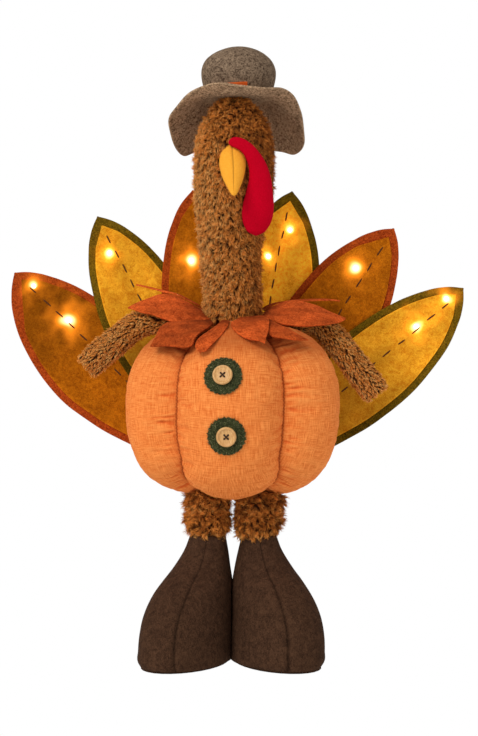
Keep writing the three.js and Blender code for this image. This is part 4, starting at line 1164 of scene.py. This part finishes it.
fanPlan = {
    "centre": (1.3, 201),
    "depth": 108,
    "pitch": 4.8,
    "reach": 369,
    "root": 74.3,
    "half": 60.3,
    "border": 9,
    "frontThick": 1.5,
    "backThick": 2.3,
    "gap": 0.3,
    "angles": [136.1, 117, 98, 78.8, 58.1, 40.7],
    "tips": [378, 372, 367, 368.5, 371, 371],
    "fromTip": [0, 4, 10, 20, 40, 65, 90, 120, 160, 200, 240, 297],
    "wide": [0, 5.2, 12, 20.5, 32.5, 43, 50, 55, 57, 53, 45, 30],
    "sides": [(0.93, 1.28), (0.95, 1.02), (0.97, 1.0), (1.04, 1.0), (0.95, 1.1), (1.0, 0.9)],
    # each feather's brightness, as painted light and shade
    "shadeTones": [0.47, 1.0, 0.82, 1.4, 0.88, 1.0],
    "rootShades": [1.75, 0.4, 0.6, 0.6, 0.55, 0.66],
    "shadeEnds": [0.8, 0.74, 0.74, 0.74, 0.74, 0.74],
    "lampsAlong": [[0.946, 0.783], [0.881, 0.5], [0.761, 0.5], [0.87, 0.77], [0.827, 0.5], [0.938, 0.802]],
    "lampsAcross": [[-0.08, -0.066], [0.12, 0.0], [0.23, 0.0], [-0.11, 0.22], [0.23, 0.0], [0.066, 0.04]],
    "lampReach": [[8, 15], [9, 8], [12, 8], [9, 9], [11, 8], [10, 12]],
    "lampSize": 2.6,
    "backTone": 0.95,
    "rows": 150,
    "columns": 41,
    "thread": linear(84, 44, 12),
    "threadWide": 0.95,
    "threadHigh": 0.6,
    "dash": 12,
    "space": 9.5,
    "glow": {"far": linear(255, 140, 30), "near": linear(255, 236, 170), "fall": 2.0, "strength": 5.0},
    "felts": {  # light, dark and fleck
        "front": {
            "amber": [linear(214, 120, 16), linear(150, 74, 4), linear(232, 152, 36)],
            "golden": [linear(250, 180, 44), linear(204, 118, 12), linear(255, 204, 84)],
        },
        "back": {
            "rust": [linear(196, 82, 28), linear(120, 38, 8), linear(210, 104, 44)],
            "olive": [linear(134, 102, 20), linear(64, 50, 6), linear(156, 122, 30)],
        },
    },
    "grains": {"front": {"grain": 1.3}, "back": {"grain": 1.5, "mottle": 0.1, "blotch": 0.1}},
    "slots": {"front": ("brown_felt", "yellow_felt"), "back": ("rust_felt", "green_felt")},
}


def flutter(points):  # how far the fan's felt stands behind its flat shape
    out = np.hypot(points[..., 0] - fanPlan["centre"][0], points[..., 2] - fanPlan["centre"][1])
    flat = points.copy()
    flat[..., 1] = 0
    slow = wander(flat, 74, 5) * 8.0 * smoothStep(out, 215, 372)
    quick = wander(flat, 26, 9) * (1.3 + 2.0 * smoothStep(out, 250, 372))
    small = wander(flat, 11, 3) * 0.35
    return slow + quick + small


def inFan(plan, i, depth, along, across):
    turn = math.radians(plan["angles"][i])
    points = np.stack([
        plan["centre"][0] + along * math.cos(turn) - across * math.sin(turn),
        depth + 0 * along,
        plan["centre"][1] + along * math.sin(turn) + across * math.cos(turn),
    ], axis=-1)
    points[..., 1] += flutter(points)
    return points


def featherEdge(plan, i, inset):  # half widths on both sides at distances from the fan's centre
    long = plan["tips"][i] - plan["root"]
    fromTip = np.concatenate([np.linspace(0, 30, 40), np.linspace(30, long, 90)[1:]])
    along = plan["tips"][i] - fromTip
    wide = smoothRead(plan["fromTip"], plan["wide"], fromTip)
    line = np.stack([along, 0 * along, 0 * along], axis=-1)
    sides = []
    for side in (0, 1):
        wavy = wander(line, 44, i * 2 + side + 2) * smoothStep(fromTip, 10, 60)
        edge = np.stack([along, wide * plan["sides"][i][side] + wavy], axis=-1)
        if inset:
            run = unit(np.gradient(edge, axis=0))
            normal = np.stack([run[:, 1], -run[:, 0]], axis=-1)
            edge = edge + normal * inset * np.sign(-normal[:, 1:2])
            point = (plan["tips"][i] - inset * 1.35 - edge[:, 0]) * 0.9
            edge[:, 1] = np.minimum(edge[:, 1], point)
            edge = edge[edge[:, 1] > 0]
        order = np.argsort(edge[:, 0])
        sides.append(edge[order])
    return sides


def featherGrid(plan, i, depth, inset):
    low, high = featherEdge(plan, i, inset)
    tip = min(low[-1, 0], high[-1, 0])
    along = plan["root"] + (tip - plan["root"]) * np.linspace(0, 1, plan["rows"]) ** 0.8
    share = np.linspace(-1, 1, plan["columns"])
    below = np.interp(along, low[:, 0], low[:, 1])
    above = np.interp(along, high[:, 0], high[:, 1])
    below[-1] = above[-1] = 0.5
    across = np.where(share < 0, below[:, None] * share, above[:, None] * share)
    along = along[:, None] + 0 * across
    return inFan(plan, i, depth, along, across), along, across


# painted shade: the felt is darker towards the root, where the arms and pumpkin shade it (lighter there for
# the first feather), darker in soft long creases, and has a painted highlight along both long edges
def featherShade(plan, i, along, across, depth):  # darker towards the root, with soft long creases
    low = plan["rootShades"][i]
    high = plan["shadeEnds"][i]
    shade = low + (1 - low) * smoothStep(along / plan["tips"][i], high - 0.24, high)
    flat = np.stack([along / 60, across / 13, 0 * across + i * 3], axis=-1)
    crease = 0.2 * wander(flat, 1, 5) + 0.16 * wander(flat * (2.2, 0.5, 1), 1, 6)
    shade = shade * (1 + crease * depth)
    shade[:, [0, -1]] *= 1.3
    return shade


# the lamps' light on the felt is painted, as the felt's own glow
def lampNear(plan, i, grid, along, across):  # how much of the lamps' light reaches the felt
    near = np.zeros(across.shape)
    for spot, reach in zip(lampSpots(plan, i), plan["lampReach"][i]):
        uneven = 1 + 0.55 * wander(grid, 14, 4 + i)
        near += np.exp(-np.hypot(along - spot[0], across - spot[1]) / (reach * uneven))
    return near


def lampSpots(plan, i):  # along and across the feather
    pairs = zip(plan["lampsAlong"][i], plan["lampsAcross"][i])
    return [(along * plan["reach"], across * plan["half"]) for along, across in pairs]


def makeFeather(plan, i, layer, depth, inset, felt):
    thick = plan[f"{layer}Thick"]
    grid, along, across = featherGrid(plan, i, depth, inset)
    near = lampNear(plan, i, grid, along, across)
    # both felts carry painted shade and highlight in their shade attribute; the back's is weaker and never
    # lighter than the felt
    if layer == "front":
        shade = featherShade(plan, i, along, across, 1.0) * plan["shadeTones"][i]
    else:
        shade = np.minimum(featherShade(plan, i, along, across, 0.3) * plan["backTone"], 1.0)
    piece = addSheet(
        f"feather_felt_{layer}_{i + 1}", grid, thick, felt, "torso", plan["slots"][layer][i % 2],
        carried={"lampNear": near, "shade": shade})
    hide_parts(f"feather_{layer}_{i + 1}")
    flatSize(grid)
    flatArea(grid)


def makeStitches(plan, i, depth, thread):  # the running stitch lies on the front felt
    rng = np.random.default_rng(70 + i)
    at = plan["tips"][i] - 26
    steps = np.linspace(0, 1, 9)
    size = np.sqrt(np.clip(1 - (2 * steps - 1) ** 4, 0.03, 1))[:, None]
    lift = np.array([0, -plan["threadHigh"], 0])
    dashes = []
    while at > plan["root"] + 70:
        long = plan["dash"] * rng.uniform(0.85, 1.15)
        along = at - steps * long
        across = 1.5 * np.sin(along / 60 + i) + rng.uniform(-0.5, 0.5)
        across += (steps - 0.5) * rng.uniform(-0.8, 0.8)
        middle = inFan(plan, i, depth - 0.1, along, across)
        side = inFan(plan, i, depth - 0.1, along, across + 1.0) - middle
        dashes.append(ringsAbout(middle, side * plan["threadWide"] * size, lift * size, 8))
        at -= long + plan["space"] * rng.uniform(0.8, 1.2)
    points, faces = joined(dashes)
    addPiece(f"feather_stitches_{i + 1}", points, faces, thread, "torso", "boot_felt")


def makeLamps(plan, i, depth, glass):  # small domes that stand out of the front felt
    size = plan["lampSize"]
    rise = np.linspace(0.03, 1, 10)[:, None] * math.pi / 2
    out = np.array([0, -size, 0]) * np.cos(rise)
    right = np.array([size, 0, 0]) * np.sin(rise)
    up = np.array([0, 0, size]) * np.sin(rise)
    domes = [
        ringsAbout(inFan(plan, i, depth, np.array([along]), np.array([across]))[0] + out, right, up, 20)
        for along, across in lampSpots(plan, i)
    ]
    points, faces = joined(domes)
    lamps = addPiece(f"feather_lamps_{i + 1}", points, faces, glass, "torso", "lamp")
    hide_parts(f"feather_lights_{i + 1}")


def makeFeathers(plan):
    felts = {
        name: feltMaterial(f"{name} felt", *colours, plan["glow"], shades=True, **plan["grains"][layer])
        for layer in ("front", "back") for name, colours in plan["felts"][layer].items()
    }

    def stitch(nodes):
        twist = nodes.noise(nodes.place(), 0.8, 2.0)
        return {"Base Color": nodes.shaded(plan["thread"], 0.7 + twist * 0.6)}
    thread = surface("dark thread", stitch, Roughness=0.8, Specular_IOR_Level=0.2)

    def bulb(nodes):
        return {"Base Color": (1.0, 0.9, 0.7, 1.0)}
    glass = surface(
        "warm lamp", bulb, Roughness=0.3, Emission_Color=(1.0, 0.86, 0.56, 1.0), Emission_Strength=5.0)

    for i in range(6):
        depth = plan["depth"] + plan["pitch"] * (5 - i)
        behind = {
            "back": plan["frontThick"] + plan["gap"] + plan["backThick"] / 2,
            "front": plan["frontThick"] / 2,
        }
        for layer, inset in (("back", 0), ("front", plan["border"])):
            felt = felts[list(plan["felts"][layer])[i % 2]]
            makeFeather(plan, i, layer, depth + behind[layer], inset, felt)
        makeStitches(plan, i, depth, thread)
        makeLamps(plan, i, depth, glass)


makeFeathers(fanPlan)
print("feathers fanned")


# Buttons: pale wood with four holes, sewn with dark thread on scalloped wool patches

buttonPlan = {
    "places": {"upper": (223.0, 376), "lower": (226.5, 436.3)},
    "patch": 20.8,
    "scallops": 24,
    "scallop": 1.1,
    "patchThick": 1.8,
    "size": 0.93,
    "hole": 1.15,
    "apart": 2.1,
    "thread": 0.42,
    "profile": [  # radius and height above the patch
        (0.02, 2.5), (3, 2.5), (6, 2.6), (8.2, 3.0), (9.3, 3.8), (10.2, 4.15), (11.0, 3.9), (11.6, 3.1),
        (11.8, 2.1), (11.5, 1.0), (10.6, 0.4), (8, 0.15), (0.02, 0.1),
    ],
    "light": linear(220, 174, 112),
    "dark": linear(192, 138, 78),
    "green": linear(76, 82, 48),
    "black": linear(32, 32, 20),
    "grey": linear(182, 176, 124),
    "dye": linear(60, 40, 26),
}


def hitBy(tree, start, way):  # where a straight line from start meets the pumpkin
    hit, _, _, _ = tree.ray_cast(Vector(sceneSpot(start)), Vector(unit(np.array(way, float))))
    return figureSpot(hit)


def makePatch(plan, name, tree, axes, wool):
    spot, side, out = axes
    turn = spun(240)
    edge = plan["patch"] + plan["scallop"] * (np.abs(np.sin(turn * plan["scallops"] / 2)) - 1)
    reach = np.linspace(0.03, 1, 16)[:, None] * edge
    grid = ringsAbout(np.tile(spot, (16, 1)), side, np.cross(out, side), 240, reach)
    for place in np.ndindex(grid.shape[:2]):
        hit = hitBy(tree, grid[place] + out * 20, -out)
        grid[place] = hit + out * (plan["patchThick"] / 2 + 0.35)
    patch = addSheet(f"button_wool_{name}", grid, plan["patchThick"], wool, "torso", "green_felt", wrap=True)
    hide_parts(f"button_patch_{name}")
    min(sheetArea(grid, True), 0.0416 ** 2)
    return grid


def makeButton(plan, name, axes, wood):
    base, side, rise, out = axes
    wide, high = turnedProfile(np.array(plan["profile"]) * (plan["size"], 1), 70)[..., None]
    button = addTube(
        f"button_wood_{name}", ringsAbout(base + high * out, side * wide, rise * wide, 96), wood, "torso",
        "wood")
    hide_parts(f"button_{name}")


def makeThread(plan, name, axes, thread):  # the four dark holes, and the thread across them
    base, side, rise, out = axes
    grids = []
    radius = np.array([[0.05], [plan["hole"]], [plan["hole"] + 0.1]])
    height = np.array([[-0.02], [0.0], [-0.3]])
    for x, z in ((-1, -1), (1, -1), (1, 1), (-1, 1)):
        middle = base + (side * x + rise * z) * plan["apart"] + out * 2.56
        grids.append(ringsAbout(middle + out * height, side * radius, rise * radius, 16))
    steps = np.linspace(-1, 1, 13)[:, None]
    lift = out * (2.6 + 0.9 * np.sqrt(np.clip(1 - steps ** 4, 0, 1)))
    for x in (-1, 1):
        for shift in (-0.35, 0.35):
            path = base + (side * x + rise) * plan["apart"] * steps + (rise * x - side) * shift * -0.7 + lift
            run = unit(np.gradient(path, axis=0))
            aside = unit(np.cross(run, out))
            grids.append(ringsAbout(path, aside * plan["thread"], np.cross(run, aside) * plan["thread"], 8))
    points, faces = joined(grids)
    addPiece(f"button_thread_{name}", points, faces, thread, "torso", "boot_felt")


def makeButtons(plan):
    def wool(nodes):
        where = nodes.place()
        fibre = nodes.noise(where, 1.2, 4.0, 0.8, 2.0)
        cloud = nodes.noise(where, 3.2, 3.0, 0.7, 1.5)
        hairs = nodes.noise(where, 1.6, 3.0, 0.8, 3.0).ramp(0.6, 0.74)
        colour = nodes.mix((fibre * 0.5 + cloud * 0.5).ramp(0.38, 0.6), plan["black"], plan["green"])
        colour = nodes.mix(hairs * 0.7, colour, plan["grey"])
        return {"Base Color": colour, "Normal": nodes.bumped(fibre * 0.5 + cloud * 0.5, 1.4)}
    patchWool = surface("marled wool", wool, Roughness=1.0, Specular_IOR_Level=0.05)

    def grain(nodes):
        where = nodes.place()
        rings = nodes.noise(nodes.stretched(where, (1, 1, 0.16)), 1.1, 3.0, 0.6, 0.6)
        colour = nodes.mix(rings.ramp(0.35, 0.7), plan["dark"], plan["light"])
        return {"Base Color": colour, "Normal": nodes.bumped(rings, 0.08)}
    wood = surface("button wood", grain, Roughness=0.5, Specular_IOR_Level=0.4)

    def dark(nodes):
        twist = nodes.noise(nodes.place(), 0.7)
        return {"Base Color": nodes.shaded(plan["dye"], 0.8 + twist * 0.4)}
    thread = surface("button thread", dark, Roughness=0.8, Specular_IOR_Level=0.2)

    made = []
    tree = BVHTree.FromObject(pumpkin, bpy.context.evaluated_depsgraph_get())
    for name, (across, down) in plan["places"].items():
        eye = np.array(stagePlan["eye"], float)
        spot = hitBy(tree, eye, fromPhoto(across, down, -100) - eye)
        left, right, low, high = (
            hitBy(tree, spot + aside, (0, 1, 0))
            for aside in ((-14, -60, 0), (14, -60, 0), (0, -60, -14), (0, -60, 14)))
        side = unit(right - left)
        out = unit(np.cross(right - left, high - low))
        made.append((name, makePatch(plan, name, tree, (spot, side, out), patchWool), out))
        axes = (spot + out * (plan["patchThick"] + 0.5), side, np.cross(out, side), out)
        makeButton(plan, name, axes, wood)
        makeThread(plan, name, axes, thread)
    return made


patches = makeButtons(buttonPlan)
print("buttons sewn")


# Plush: each strand is a thin curved cone that stands on the cover's cloth

furPlan = {
    # root and dark carry painted shade deep in the pile: strands darken towards their roots, and the backing
    # cloth between them is kept as dark
    "root": linear(56, 25, 7),
    "dark": linear(164, 90, 30),
    "middle": linear(244, 150, 62),
    "tip": linear(255, 190, 108),
}


def furMaterial(plan):
    def make(nodes):
        tone = nodes.carried("tone")
        along = nodes.carried("along")
        colour = nodes.mix(tone.ramp(0.0, 0.6), plan["dark"], plan["middle"])
        colour = nodes.mix(tone.ramp(0.45, 1.1), colour, plan["tip"])
        # painted shade: each strand is darker towards its root
        colour = nodes.mix(along.ramp(0.15, 0.9), plan["root"], colour)
        return {"Base Color": colour}
    return surface("brown plush", make, Roughness=0.8, Specular_IOR_Level=0.15)


def backingMaterial(plan):
    def make(nodes):
        where = nodes.place()
        fibre = nodes.noise(where, 1.6, 4.0, 0.75, 1.6)
        cloud = nodes.noise(where, 5.0, 2.0)
        # painted shade: the backing is dark, as the shade between the tufts
        colour = nodes.mix((fibre * 0.7 + cloud * 0.3).ramp(0.4, 0.8), plan["root"], plan["dark"])
        return {"Base Color": colour, "Normal": nodes.bumped(fibre, 1.2)}
    return surface("plush backing", make, Roughness=1.0, Specular_IOR_Level=0.05)


def scatter(grid, count, seed):  # places spread evenly over a grid that runs round into itself
    rng = np.random.default_rng(seed)
    wrapped = np.concatenate([grid, grid[:, :1]], axis=1)
    one = wrapped[1:, 1:] - wrapped[:-1, :-1]
    two = wrapped[:-1, 1:] - wrapped[1:, :-1]
    normals = np.cross(one, two)
    area = np.linalg.norm(normals, axis=-1)
    rows, columns = area.shape
    total = np.cumsum(area.ravel())
    pick = np.searchsorted(total, (np.arange(count) + rng.uniform(0, 1, count)) / count * total[-1])
    pick = np.clip(pick, 0, rows * columns - 1)
    i, j = np.divmod(pick, columns)
    s = rng.uniform(0, 1, count)
    t = rng.uniform(0, 1, count)
    low = wrapped[i, j] * (1 - t)[:, None] + wrapped[i, j + 1] * t[:, None]
    high = wrapped[i + 1, j] * (1 - t)[:, None] + wrapped[i + 1, j + 1] * t[:, None]
    facing = unit(normals[i, j])
    outward = np.sign(np.einsum("ij,ij->i", facing, low - grid.mean(axis=1)[i]))
    if np.mean(outward) < 0:
        facing = -facing
    return low * (1 - s)[:, None] + high * s[:, None], facing, (i + s) / rows


def insideOf(points, pieces, margin):  # whether each point lies in, or within the margin of, a piece
    found = np.zeros(len(points), bool)
    for piece in pieces:
        tree = BVHTree.FromObject(piece, bpy.context.evaluated_depsgraph_get())
        low = np.array(piece.bound_box).min(axis=0) - margin * mm
        high = np.array(piece.bound_box).max(axis=0) + margin * mm
        world = sceneSpot(points)
        near = np.all((world > low) & (world < high), axis=1) & ~found
        for i in np.nonzero(near)[0]:
            spot, normal, _, distance = tree.find_nearest(Vector(world[i]))
            if spot is None:
                continue
            if distance < margin * mm or (Vector(world[i]) - spot).dot(normal) < 0:
                found[i] = True
    return found


def strandFaces():  # three rings of three points, and the tip
    faces = []
    for low in (0, 3):
        for corner in range(3):
            after = (corner + 1) % 3
            a, b, c, d = low + corner, low + after, low + 3 + after, low + 3 + corner
            faces += [(a, b, c), (a, c, d)]
    return np.array([*faces, (6, 7, 9), (7, 8, 9), (8, 6, 9)])


def tufted(roots, plan, rng):  # each strand's tuft, and the way that the tuft leans
    count = len(roots)
    leaders = np.sort(rng.choice(count, int(count / plan["perTuft"]), replace=False))
    finder = KDTree(len(leaders))
    for place, leader in enumerate(leaders):
        finder.insert(Vector(roots[leader]), place)
    finder.balance()
    swirl = np.array([noise.noise_vector(Vector(p) / plan["clump"]) for p in roots[leaders]])
    lean = swirl * plan["swirl"] + rng.normal(0, plan["ruffle"], swirl.shape)
    nearest = [finder.find(Vector(root))[1] for root in roots]
    return leaders[nearest], lean[nearest]


def combed(roots, normals, lay, plan, avoid, tuft, lean, rng):  # each strand's line, sides, and if it stays
    fine = rng.normal(0, 1, roots.shape)
    long = (plan["length"] * rng.uniform(0.65, 1.15, len(roots)))[:, None]
    lie = plan["lie"]
    out = normals[tuft]
    down = lay[tuft]
    first = unit(out + down * lie * 0.5 + lean * 0.3 + fine * 0.12)
    second = unit(out * 0.5 + down * lie + lean * 0.8 + fine * 0.2)
    third = unit(down * lie * 1.2 - out * 0.1 + lean * 1.4 + fine * 0.3)
    aside = (roots[tuft] - roots) * plan["gather"]

    def lines(long):
        low = roots + aside * 0.3 + first * long * 0.36
        middle = low + aside * 0.35 + second * long * 0.34
        return [roots - normals * 0.5, low, middle, middle + aside * 0.2 + third * long * 0.34]

    # strands that meet another piece are short, and those that still meet it are left out
    centres = lines(long)
    blocked = insideOf(centres[2], avoid, 0.5) | insideOf(centres[3], avoid, 0.4)
    centres = lines(np.where(blocked[:, None], long * 0.35, long))
    keep = ~insideOf(roots, avoid, -0.2)
    keep[blocked] &= ~insideOf(centres[3][blocked], avoid, 0.2)
    side = unit(np.cross(first, fine))
    return centres, side, np.cross(first, side), keep


def addFur(name, roots, normals, lay, plan, body, avoid=()):
    rng = np.random.default_rng(plan["seed"])
    tuft, lean = tufted(roots, plan, rng)
    centres, side, other, keep = combed(roots, normals, lay, plan, avoid, tuft, lean, rng)
    rings = [
        centre + (side * math.cos(angle) + other * math.sin(angle)) * plan["thick"] * share
        for centre, share in zip(centres, (1.0, 0.92, 0.62)) for angle in spun(3)
    ]
    points = np.stack([*rings, centres[3]], axis=1)[keep]
    count = len(points)
    one = turnedOut(points[0], [strandFaces()])[0]
    faces = (np.arange(count)[:, None, None] * 10 + one).reshape(-1, 3)
    tuftTone = rng.uniform(0, 1, len(roots))[tuft][keep]
    pale = np.broadcast_to(plan.get("pale", 0), len(roots))[keep]
    tone = np.clip(tuftTone * 0.6 + rng.uniform(0, 1, count) * 0.4 + pale, 0, 1)
    along = np.array([0, 0, 0, 0.4, 0.4, 0.4, 0.75, 0.75, 0.75, 1.0])
    uvPoint = np.stack([
        0.02 + tone[:, None] * 0.94 + np.array([0, 0.01, 0.02] * 3 + [0.01])[None, :],
        0.02 + along[None, :] * 0.96 + 0 * tone[:, None],
    ], axis=-1).reshape(-1, 2)
    carried = {"tone": np.repeat(tone, 10), "along": np.tile(along, count)}
    piece = addPiece(
        name, points, [faces], plan["material"], body, plan.get("slot", "fur"), carried,
        uvPoint[faces.ravel()])
    return piece, roots[keep]


plush = furMaterial(furPlan)
backing = backingMaterial(furPlan)
hairs = furMaterial({
    "root": buttonPlan["black"], "dark": buttonPlan["black"], "middle": buttonPlan["green"],
    "tip": buttonPlan["grey"]})


# The wool patches' loose hairs

hairPlan = {
    "length": 2.7, "thick": 0.2, "clump": 2.5, "swirl": 0.8, "ruffle": 0.7, "lie": 0.8, "perTuft": 4,
    "gather": 0.5, "count": 4200, "seed": 52, "material": hairs, "slot": "green_felt",
}
for name, grid, out in patches:
    roots, _, up = scatter(grid, hairPlan["count"], 51)
    roots = roots[up > 0.45]
    lay = unit(roots - grid[0].mean(axis=0))
    addFur(f"button_hairs_{name}", roots, out + 0 * roots, lay, hairPlan, "torso")


# The neck's pile, in layers of tufts

neckFurPlan = {
    "length": 9.2, "thick": 0.39, "clump": 7.0, "swirl": 1.2, "ruffle": 0.45, "lie": 1.0, "perTuft": 7,
    "gather": 1.2, "seed": 21, "count": 13000, "layers": 5, "underHat": 653,
}


def downAlong(normals):  # straight down, laid along the cloth
    return np.array([0, 0, -1.0]) + normals * normals[:, 2:3]


def makeNeck(plan, pile, avoid):
    grid = neckGrid(plan)
    cloth = addTube("neck_cover", grid, backing, "torso", "fur")
    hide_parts("neck_and_head")
    for layer in range(pile["layers"]):
        roots, normals, _ = scatter(grid, pile["count"], pile["seed"] + layer)
        shown = roots[:, 2] < pile["underHat"]
        roots, normals = roots[shown], normals[shown]
        # the pile is paler on the left as painted light from that side, and darker on the head
        pale = 0.06 - 0.3 * roots[:, 0] / plan["radius"] - 0.2 * smoothStep(roots[:, 2], 550, 610)
        addFur(
            f"neck_pile_{layer + 1}", roots, normals, downAlong(normals),
            {**pile, "seed": pile["seed"] + 10 * layer, "material": plush, "pale": pale}, "torso", avoid)


makeNeck(neckPlan, neckFurPlan, [snood])
print("neck furred")


# Arms: plush tubes, gathered at the end round a small hollow

armPlan = {
    "radius": 12.8,
    "fold": 0.11,
    "length": 112,
    "steps": [0, 0.12, 0.25, 0.4, 0.55, 0.7, 0.82, 0.91, 0.97, 1],
    "swell": [0.97, 1, 1, 1.01, 1.02, 1.04, 1.05, 1.05, 1.03, 0.97],
    "seat": {"left": (-71.0, 13.0, 400.9), "right": (76.0, 14.0, 400.46)},
    "route": {  # X and Z from the seat, as shares of the length
        "left": [(0, 0), (-0.296, -0.032), (-0.573, -0.226), (-0.749, -0.378), (-0.862, -0.48)],
        "right": [(0, 0), (0.16, -0.005), (0.34, -0.158), (0.58, -0.45), (0.806, -0.749)],
    },
    "shoulder": [-78, -60, -40, -20],
    "end": [(-0.6, 0.92), (1.5, 0.84), (5, 0.74), (9, 0.6), (12, 0.3)],
    "pile": {
        "length": 6.4, "thick": 0.47, "clump": 7.0, "swirl": 0.5, "ruffle": 0.35, "lie": 1.2, "perTuft": 5,
        "gather": 1.0, "count": 13300, "pale": 0.14,
    },
}


def makeArm(plan, name, seed):
    route = np.array([[x, 0, z] for x, z in plan["route"][name]]) * plan["length"] + plan["seat"][name]
    walk = walked(route)
    steps = np.linspace(0, walk[-1], 60)
    centres = smoothRead(walk, route, steps)
    runs = unit(np.gradient(centres, axis=0))
    share = (steps / walk[-1])[:, None]
    radius = smoothRead(plan["steps"], plan["swell"], share[:, 0])[:, None] * plan["radius"]
    columns = 60
    across = np.array([0, 1.0, 0])
    folds = np.sin(spun(columns) * 6 + seed + 2 * share)
    folds = 1 + plan["fold"] * folds * smoothStep(share, 0.1, 0.9)
    arm = ringsAbout(centres, across * radius, np.cross(runs, across) * radius, columns, folds)
    lift = np.radians(plan["shoulder"])[:, None]
    wide = np.cos(lift) * radius[0]
    shoulder = centres[0] + runs[0] * np.sin(lift) * plan["radius"]
    shoulder = ringsAbout(shoulder, across * wide, np.cross(runs[0], across) * wide, columns)
    back, wide = np.array(plan["end"]).T[..., None]
    wide = wide * plan["radius"]
    end = ringsAbout(centres[-1] - runs[-1] * back, across * wide, np.cross(runs[-1], across) * wide, columns)
    grid = bend(np.vstack([shoulder, arm, end]), 24, 1.0, seed)
    body = f"{name}_arm"
    cloth = addTube(f"arm_cover_{name}", grid, backing, body, "fur")
    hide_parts(f"arm_{name}")
    roots, normals, up = scatter(grid, plan["pile"]["count"], seed)
    shown = up < 0.945
    roots, normals, up = roots[shown], normals[shown], up[shown]
    nearest = np.clip(np.searchsorted(np.linspace(0.05, 0.92, 60), up), 0, 59)
    lay = runs[nearest]
    lay = lay - normals * np.einsum("ij,ij->i", lay, normals)[:, None]
    addFur(
        f"arm_pile_{name}", roots, normals, lay, {**plan["pile"], "seed": seed, "material": plush}, body,
        [pumpkin, *collar])


makeArm(armPlan, "left", 31)
makeArm(armPlan, "right", 32)
print("arms furred")


# Leg sleeves: plush in two rolls, which stretch when a leg is drawn out

sleevePlan = {
    "radius": {"left": 19.5, "right": 23},
    "foot": 153.3,
    "head": 205,
    "legs": {"left": -28.2, "right": 31.2},
    "lean": {"left": 0.0, "right": -4.5},
    "room": 10,
    "upShares": [0, 0.05, 0.14, 0.3, 0.43, 0.53, 0.59, 0.66, 0.8, 1],
    "bulgeShares": [0.6, 0.76, 0.9, 1.04, 1.02, 0.88, 0.86, 1.02, 1.04, 0.9],
    "pile": {
        "length": 12.0, "thick": 0.46, "clump": 9.0, "swirl": 1.1, "ruffle": 0.85, "lie": 0.75, "perTuft": 13,
        "gather": 1.25, "count": 13200,
    },
}


def makeSleeve(plan, name, seed):
    up = np.linspace(0, 1, 56)
    radius = smoothRead(plan["upShares"], plan["bulgeShares"], up) * plan["radius"][name]
    middle = plan["legs"][name]
    tall = plan["head"] - plan["foot"]
    lean = middle + plan["lean"][name] * (1 - up)
    grid = upright(lean[:, None], 0, radius, plan["foot"] + up * tall, 72)
    top = tuple(sceneSpot([middle, 0, plan["head"]]))
    low = tuple(sceneSpot([middle, 0, plan["foot"]]))
    cloth = addTube(f"sleeve_cover_{name}", grid, backing, None, "fur")
    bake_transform(cloth, "torso", f"{name}_foot", top, low)
    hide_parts(f"leg_sleeve_{name}")
    roots, normals, at = scatter(grid, plan["pile"]["count"], seed)
    # both rolls are dark at their tops and golden at their lower edges
    # painted shade: the whole pile is made darker, as it lies in the pumpkin's shade
    pale = -0.24 + 0.42 * (1 - smoothStep(at, 0.02, 0.26)) + 0.3 * np.exp(-((at - 0.62) / 0.07) ** 2)
    # the pile is short next to the other leg, which it slides along when the legs are drawn out
    room = np.abs(roots[:, 0] - bootPlan["middleX"]) / plan["room"]
    length = plan["pile"]["length"] * np.clip(room, 0.4, 1)
    fur, kept = addFur(
        f"sleeve_pile_{name}", roots, normals, downAlong(normals),
        {**plan["pile"], "seed": seed, "material": plush, "pale": pale, "length": length}, None, [pumpkin])
    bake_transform(fur, "torso", f"{name}_foot", top, low)
    weights = fur.data.attributes["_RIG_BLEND"]
    share = np.clip((plan["head"] - kept[:, 2]) / tall, 0, 1)
    weights.data.foreach_set("value", np.repeat(share * share * (3 - 2 * share), 10).astype(np.float32))


makeSleeve(sleevePlan, "left", 41)
makeSleeve(sleevePlan, "right", 42)
print("sleeves furred")


# Plain pieces that stay as they are in the frame: frame tubes, bushes, soles and the battery case

plainPlan = {
    "steel": linear(150, 152, 156),
    "black": linear(34, 34, 36),
    "copper": linear(206, 128, 40),
    "wrap": linear(40, 38, 36),
    "pieces": {
        "steel": [
            "inner_leg_tube_left", "inner_leg_tube_right", "outer_leg_tube_left", "outer_leg_tube_right",
            "spine_frame", "tail_frame"],
        "plastic": [
            "battery_case", "battery_cover", "power_switch", "leg_guide_bush_left", "leg_guide_bush_right"],
        "cells": ["battery_cell_1", "battery_cell_2", "battery_cell_3"],
        "soles": ["boot_sole_left", "boot_sole_right"],
    },
}


def dressPlain(plan):
    def steel(nodes):
        where = nodes.stretched(nodes.place(), (1, 1, 0.1))
        drawn = nodes.noise(where, 0.8, 3.0)
        colour = nodes.shaded(plan["steel"], 0.85 + drawn * 0.3)
        return {"Base Color": colour, "Roughness": 0.32 + drawn * 0.2}

    def black(nodes):
        grain = nodes.noise(nodes.place(), 0.5, 2.0)
        colour = nodes.shaded(plan["black"], 0.85 + grain * 0.3)
        return {"Base Color": colour, "Normal": nodes.bumped(grain, 0.04)}

    def sleeve(nodes):
        where = nodes.noise(nodes.place(), 14.0, 2.0)
        return {"Base Color": nodes.mix(where.ramp(0.48, 0.5), plan["copper"], plan["wrap"])}
    made = {
        "steel": surface("drawn steel", steel, Metallic=1.0),
        "plastic": surface("matt plastic", black, Roughness=0.6),
        "cells": surface("cell sleeve", sleeve, Roughness=0.35),
        "soles": bootFelt,
    }
    for kind, names in plan["pieces"].items():
        for name in names:
            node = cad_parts[name]
            node.data.materials.clear()
            node.data.materials.append(made[kind])


dressPlain(plainPlan)
print("plain pieces dressed")
